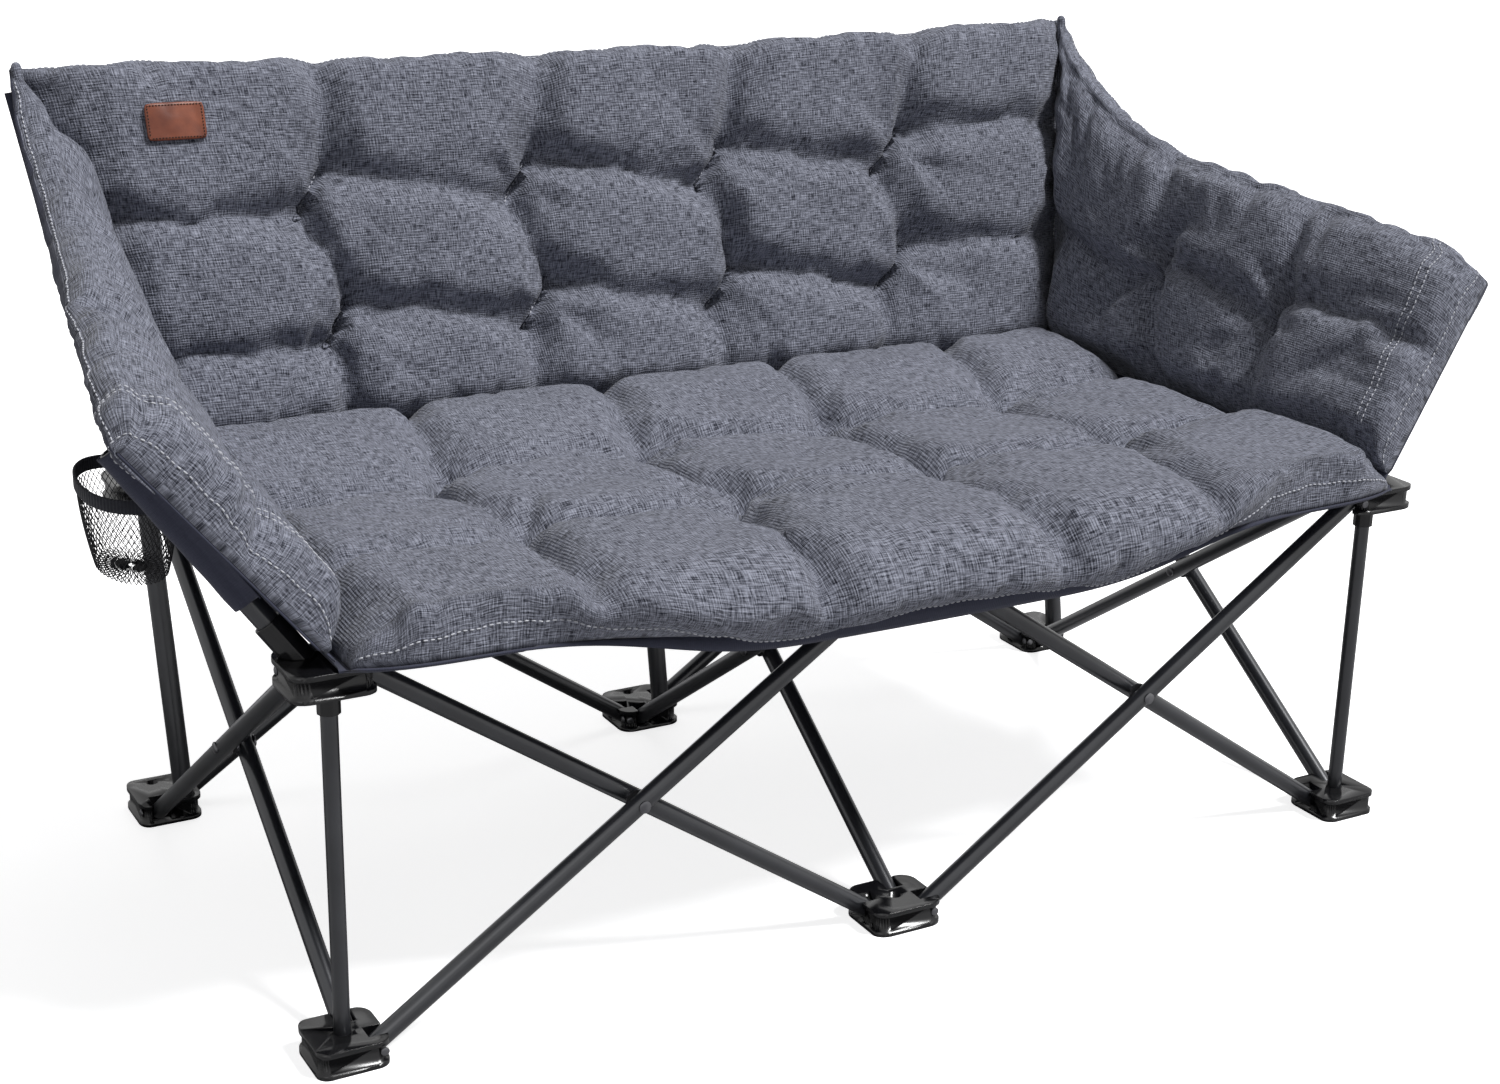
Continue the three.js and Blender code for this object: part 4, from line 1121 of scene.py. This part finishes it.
# %% The net pocket
def pocket_net(around=46, levels=16, floor_share=0.74, floor_rings=5):
    low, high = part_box("pocket_net")
    centre, half = (low + high) / 2, (high - low) / 2
    profile = []
    for t in np.linspace(0, 1, levels + 1):
        profile.append((mix(1.0, floor_share, t**1.6), high.z - (high.z - low.z) * t * 0.985))
    for k in range(1, floor_rings + 1):
        profile.append((floor_share * (1 - k / (floor_rings + 0.5)), low.z + 0.0014))
    points, faces = [], []
    for k, (share, height) in enumerate(profile):
        for i in range(around):
            turn = 2 * math.pi * (i + 0.5 * (k % 2)) / around
            x, y = half.x * 0.985 * share * math.cos(turn), half.y * 0.985 * share * math.sin(turn)
            points.append((centre.x + x, centre.y + y, height))
    for k in range(len(profile) - 2):
        for i in range(around):
            left = (k + 1) * around + (i + k % 2 - 1) % around
            right = (k + 1) * around + (i + k % 2) % around
            faces.append((k * around + i, left, (k + 2) * around + i, right))
    made = mesh_object("pocket_net_cord", points, faces, NET)
    wire = made.modifiers.new("cord", "WIREFRAME")
    wire.thickness = 0.0011
    wire.use_even_offset = False
    wire.use_boundary = True
    apply_modifiers(made)
    return fitted(made, "pocket_net", "hub_front_left")


def pocket_band(around=72, thickness=0.0034, rounding=0.0008):
    low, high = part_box("pocket_rim")
    centre, half = (low + high) / 2, (high - low) / 2
    inside, outside = (-thickness, rounding - thickness), (-rounding, 0)
    section = [(inside[0], 0), (inside[0], 1), (inside[1], 1.06), (outside[0], 1.06)]
    section += [(outside[1], 1), (outside[1], 0), (outside[0], -0.06), (inside[1], -0.06)]
    points, uv = [], []
    for i in range(around):
        turn = 2 * math.pi * i / around
        bow = 0.0012 * math.sin(3 * turn + 0.5)
        for k, (inset, share) in enumerate(section):
            x, y = (half.x + inset) * math.cos(turn), (half.y + inset) * math.sin(turn)
            points.append((centre.x + x, centre.y + y, low.z + (high.z - low.z) * share + bow))
            uv.append((0.45 * i / around, 0.003 * k))
    made = mesh_object("pocket_band", points, ring_faces(around, len(section), True), WEBBING)
    set_uv(made, np.array(uv))
    return fitted(made, "pocket_rim", "hub_front_left")


net, band = pocket_net(), pocket_band()
print("net", len(net.data.polygons), "faces, band", len(band.data.polygons))

# %% [markdown]
# Where the back meets an arm the cloths are joined by a piped seam, which ends in a small ear at the top.
# It is a round section carried along the corner.

# %% Piped corners
WELT_RADIUS, WELT_ROWS = 0.0056, 70
EAR, EAR_WAY = 0.009, np.array([0, 0.3, 1.0])
EAR_STEPS = ((0.3, 1.0), (0.6, 0.92), (0.85, 0.7), (1.0, 0.35))


def carried(name, path, radii, facing, material, sides=12):
    """A round section carried along a path, with its ends closed."""
    path = [Vector(p) for p in path]
    points, uv = [], []
    length = 0.0
    for k, (place, radius) in enumerate(zip(path, radii)):
        along = (path[min(k + 1, len(path) - 1)] - path[max(k - 1, 0)]).normalized()
        side = along.cross(facing[k]).normalized()
        length += (place - path[k - 1]).length if k else 0
        points += circle(place, side, side.cross(along), radius, sides)
        uv += [(0.004 * i, length) for i in range(sides)]
    faces = ring_faces(len(path), sides) + end_faces(len(path), sides)
    made = mesh_object(name, points, faces, material)
    set_uv(made, np.array(uv))
    made.data.set_sharp_from_angle(angle=math.radians(50))
    return made


welts = {}
for side, surface, edge in (("left", left_arm_surface, 1.0), ("right", arm_surface, 0.0)):
    heights = np.linspace(0.03, 1, WELT_ROWS)
    edges = np.full(WELT_ROWS, edge)
    inward = normals(surface, edges, heights)
    path = list(surface(edges, heights) + inward * 0.0038)
    path += [path[-1] + EAR_WAY * EAR * share for share, _ in EAR_STEPS]
    radii = list(WELT_RADIUS + 0.0006 * crease(6.3 * np.arange(WELT_ROWS)))
    radii += [WELT_RADIUS * size for _, size in EAR_STEPS]
    facing = [Vector(n) for n in inward] + [Vector(inward[-1])] * len(EAR_STEPS)
    welts[side] = carried(f"corner_welt_{side}", path, radii, facing, HEATHER)
    fitted(welts[side], None, f"hub_front_{side}")
print("welts", len(welts["left"].data.polygons), "faces each")

# %% [markdown]
# White stitches run just inside each pad's edge and along every tuft. Each stitch is a short bead of thread
# lying on the cover, long enough to be seen from a step away.

# %% Stitches
EDGE_INSET, TWIN_INSETS, PATCH_PITCH = 0.008, (0.040, 0.046), 0.0034
BEAD_STEPS = ((0.0, 0.55), (0.25, 1.0), (0.75, 1.0), (1.0, 0.55))


def bead(start, end, up, radius=0.0008, sides=5):
    """A short thread from start to end, thinner at both ends."""
    along = (end - start).normalized()
    side = along.cross(up).normalized()
    points = []
    for share, size in BEAD_STEPS:
        points += circle(start.lerp(end, share), side, side.cross(along), radius * size, sides)
    return points, ring_faces(len(BEAD_STEPS), sides) + end_faces(len(BEAD_STEPS), sides)


def sewn(name, runs, body, material=THREAD, pitch=0.0065, share=0.62):
    """Stitches along runs, each a list of (point, up) in order."""
    points, faces = [], []
    for run in runs:
        spots = [Vector(p) for p, _ in run]
        ups = [Vector(n) for _, n in run]
        lengths = np.r_[0, np.cumsum([(b - a).length for a, b in zip(spots, spots[1:])])]
        for at in np.arange(0.002, lengths[-1] - pitch, pitch):
            ends = []
            for s in (at, at + pitch * share):
                k = int(np.searchsorted(lengths, s)) - 1
                k = min(max(k, 0), len(spots) - 2)
                t = (s - lengths[k]) / max(lengths[k + 1] - lengths[k], 1e-9)
                ends.append(spots[k].lerp(spots[k + 1], t))
            made, loops = bead(ends[0], ends[1], ups[k])
            faces += [tuple(i + len(points) for i in loop) for loop in loops]
            points += made
    return fitted(mesh_object(name, points, faces, material), None, body)


def run_on_cover(name, line):
    """Points of a cover, and their normals, along a line of (u, v) shares."""
    grid = COVERS[name]["points"]
    up, across = grid.shape[:2]
    found = []
    for u, v in line:
        x, y = u * (across - 1), v * (up - 1)
        i, j = min(int(x), across - 2), min(int(y), up - 2)
        low = mix(grid[j, i], grid[j, i + 1], x - i)
        high = mix(grid[j + 1, i], grid[j + 1, i + 1], x - i)
        n = unit(np.cross(grid[j, i + 1] - grid[j, i], grid[j + 1, i] - grid[j, i]))
        found.append((mix(low, high, y - j) + n * 0.0004, n))
    return found


def edge_run(name, inset, sides):
    width, height = COVERS[name]["size"]
    a, b = inset / width, inset / height
    along, upward = np.linspace(a, 1 - a, 160), np.linspace(b, 1 - b, 80)
    lines = {
        "top": [(t, 1 - b) for t in along],
        "bottom": [(t, b) for t in along],
        "start": [(a, t) for t in upward],
        "end": [(1 - a, t) for t in upward],
        "ridge": [(t, COVERS[name]["ridge"]) for t in along],
    }
    return [run_on_cover(name, lines[side]) for side in sides]


def tuft_runs(name, tufts):
    width, height = COVERS[name]["size"]
    span = COVERS[name]["span"]
    runs = []
    for (u, v), (du, dv) in tufts:
        line = [(u + t * du / width, v * span + t * dv / height) for t in np.linspace(-1, 1, 9)]
        runs.append(run_on_cover(name, line))
    return runs


STITCHED = {
    "back_pad": (BACK_TUFTS, ("top", "start", "end"), (), "hub_rear_center"),
    "seat_pad": (SEAT_TUFTS, ("bottom",), (), "hub_front_center"),
    "arm_pad_right": (ARM_TUFTS, ("ridge", "end"), ("end",), "hub_front_right"),
    "arm_pad_left": (LEFT_ARM_TUFTS, ("ridge", "start"), ("start",), "hub_front_left"),
}
stitches = {}
for pad_name, (tufts, sides, twin_sides, body) in STITCHED.items():
    runs = tuft_runs(pad_name, tufts) + edge_run(pad_name, EDGE_INSET, sides)
    for inset in TWIN_INSETS:
        runs += edge_run(pad_name, inset, twin_sides)
    stitches[pad_name] = sewn(pad_name + "_stitches", runs, body)
    print(pad_name, "stitches", len(stitches[pad_name].data.vertices) // 20)
patch_stitches = sewn(
    "leather_patch_stitches", [patch_border()], "hub_rear_center", DARK_THREAD, PATCH_PITCH)

# %% [markdown]
# When the frame gathers up, the cloth crumples between the hubs. Here each soft piece, and everything sewn on
# it, only gets a mesh of its own, and the backing cloths' surfaces are measured.

# %% Soft pieces get their own meshes
BACK_PIECES = (back, back_cloth, stitches["back_pad"], leather_patch, patch_stitches)
SEAT_PIECES = (seat, seat_cloth, stitches["seat_pad"])
ARM_PIECES = (arm_right, arm_cloth_right, stitches["arm_pad_right"], welts["right"],
              arm_left, arm_cloth_left, stitches["arm_pad_left"], welts["left"])
SIDEWAYS, FRONT_TO_BACK, KEPT, FILL = (1, 0, 0), (0, 1, 0), 0.3, 0.7
for pieces, axis, row in (
    (BACK_PIECES, SIDEWAYS, REAR), (SEAT_PIECES, SIDEWAYS, FRONT), (ARM_PIECES, FRONT_TO_BACK, FRONT)
):
    for piece in pieces:
        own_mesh(piece)

POLES = [f"back_pole_{column}" for column in COLUMNS]
HUBS = [f"hub_{row}_{column}" for row in ("front", "rear") for column in COLUMNS]
SHEETS = (
    (back_cloth, back_surface, POLES),
    (seat_cloth, seat_surface, HUBS),
    (arm_cloth_right, arm_surface, ["arm_bow_right", "back_pole_right", "hub_front_right"]),
    (arm_cloth_left, left_arm_surface, ["arm_bow_left", "back_pole_left", "hub_front_left"]),
)
for piece, surface, rests in SHEETS:
    width, height = side_lengths(surface)

# %% [markdown]
# The photograph was taken from the front left, a little above the seat, with a long lens. The camera's place
# comes from fitting the feet and hubs of the model to the photograph.

# %% The camera
AZIMUTH, ELEVATION, ROLL = (math.radians(a) for a in (-29.414, 18.751, -1.150))
PLACE = Vector((-1.2258, CENTRE - 2.1493, 1.1652))
FOCAL, IMAGE_WIDTH, SENSOR_WIDTH = 2352.0, 1500, 36


def photo_camera():
    level = math.cos(ELEVATION)
    forward = Vector((-math.sin(AZIMUTH) * level, math.cos(AZIMUTH) * level, -math.sin(ELEVATION)))
    right = forward.cross(Vector((0, 0, 1))).normalized()
    down = forward.cross(right)
    rolled = right * math.cos(ROLL) + down * math.sin(ROLL)
    below = down * math.cos(ROLL) - right * math.sin(ROLL)
    data = bpy.data.cameras.new("camera")
    data.sensor_width = SENSOR_WIDTH
    data.lens = FOCAL / IMAGE_WIDTH * SENSOR_WIDTH
    data.clip_end = 50
    made = in_scene(bpy.data.objects.new("camera", data))
    made.matrix_world = Matrix.Translation(PLACE) @ Matrix((rolled, -below, -forward)).transposed().to_4x4()
    return made


camera = photo_camera()
bpy.context.scene.camera = camera
print("camera at", [round(c, 3) for c in camera.matrix_world.translation])

# %% [markdown]
# A pale studio: a wide floor, a soft sun from the upper right, two weak lamps and a bright surround.
# The surround looks white to the camera and in reflections, while it lights the object only softly.

# %% Floor, lamps and surround
FLOOR_HALF, PALE_FLOOR, DIM_FLOOR, FLOOR_GLOW = 30, (0.9, 0.9, 0.91, 1), (0.42, 0.42, 0.43, 1), 0.80
LAMPS = {"fill": ((-2.6, -2.8, 2.0), 2.4, 12), "top": ((0.3, 1.2, 3.4), 2.0, 14)}
LAMP_TARGET, SUN_WAY = Vector((0, 0, 0.4)), Vector((-0.42, 0.40, -0.82))
MIRRORED, SURROUND_LIGHT = 0.8, 0.11

FLOOR, tree, shader = new_material("floor")
set_inputs(shader, {"Roughness": 0.7, "Emission Color": (1, 1, 1, 1)})
sight = tree.nodes.new("ShaderNodeLightPath").outputs["Is Camera Ray"]
shade = node(tree, "ShaderNodeMix", data_type="RGBA")
shade.inputs[6].default_value = DIM_FLOOR
shade.inputs[7].default_value = PALE_FLOOR
tree.links.new(sight, shade.inputs[0])
tree.links.new(shade.outputs[2], shader.inputs["Base Color"])
tree.links.new(math_node(tree, "MULTIPLY", sight, FLOOR_GLOW), shader.inputs["Emission Strength"])
floor_corners = [(x * FLOOR_HALF, y * FLOOR_HALF, 0) for x, y in ((-1, -1), (1, -1), (1, 1), (-1, 1))]
floor = mesh_object("floor", floor_corners, [(0, 1, 2, 3)], FLOOR)


def pointed(name, data, way):
    """A light that shines along way."""
    made = in_scene(bpy.data.objects.new(name, data))
    made.rotation_euler = way.to_track_quat("-Z", "Y").to_euler()
    return made


sun = bpy.data.lights.new("key", "SUN")
sun.angle = math.radians(14)
sun.energy = 3.3
pointed("key", sun, SUN_WAY)
for name, (place, size, power) in LAMPS.items():
    disk = bpy.data.lights.new(name, "AREA")
    disk.shape = "DISK"
    disk.size = size
    disk.energy = power
    pointed(name, disk, LAMP_TARGET - Vector(place)).location = place

world = bpy.data.worlds.new("surround")
bpy.context.scene.world = world
world.use_nodes = True
tree = world.node_tree
background = tree.nodes["Background"]
background.inputs["Color"].default_value = (1, 1, 1, 1)
rays = tree.nodes.new("ShaderNodeLightPath").outputs
mirrored = math_node(tree, "MULTIPLY", rays["Is Glossy Ray"], MIRRORED)
seen = math_node(tree, "MAXIMUM", rays["Is Camera Ray"], mirrored)
tree.links.new(math_node(tree, "MAXIMUM", seen, SURROUND_LIGHT), background.inputs["Strength"])
bpy.context.scene.view_settings.view_transform = "Standard"
print("lights", sorted(light.name for light in bpy.data.lights))
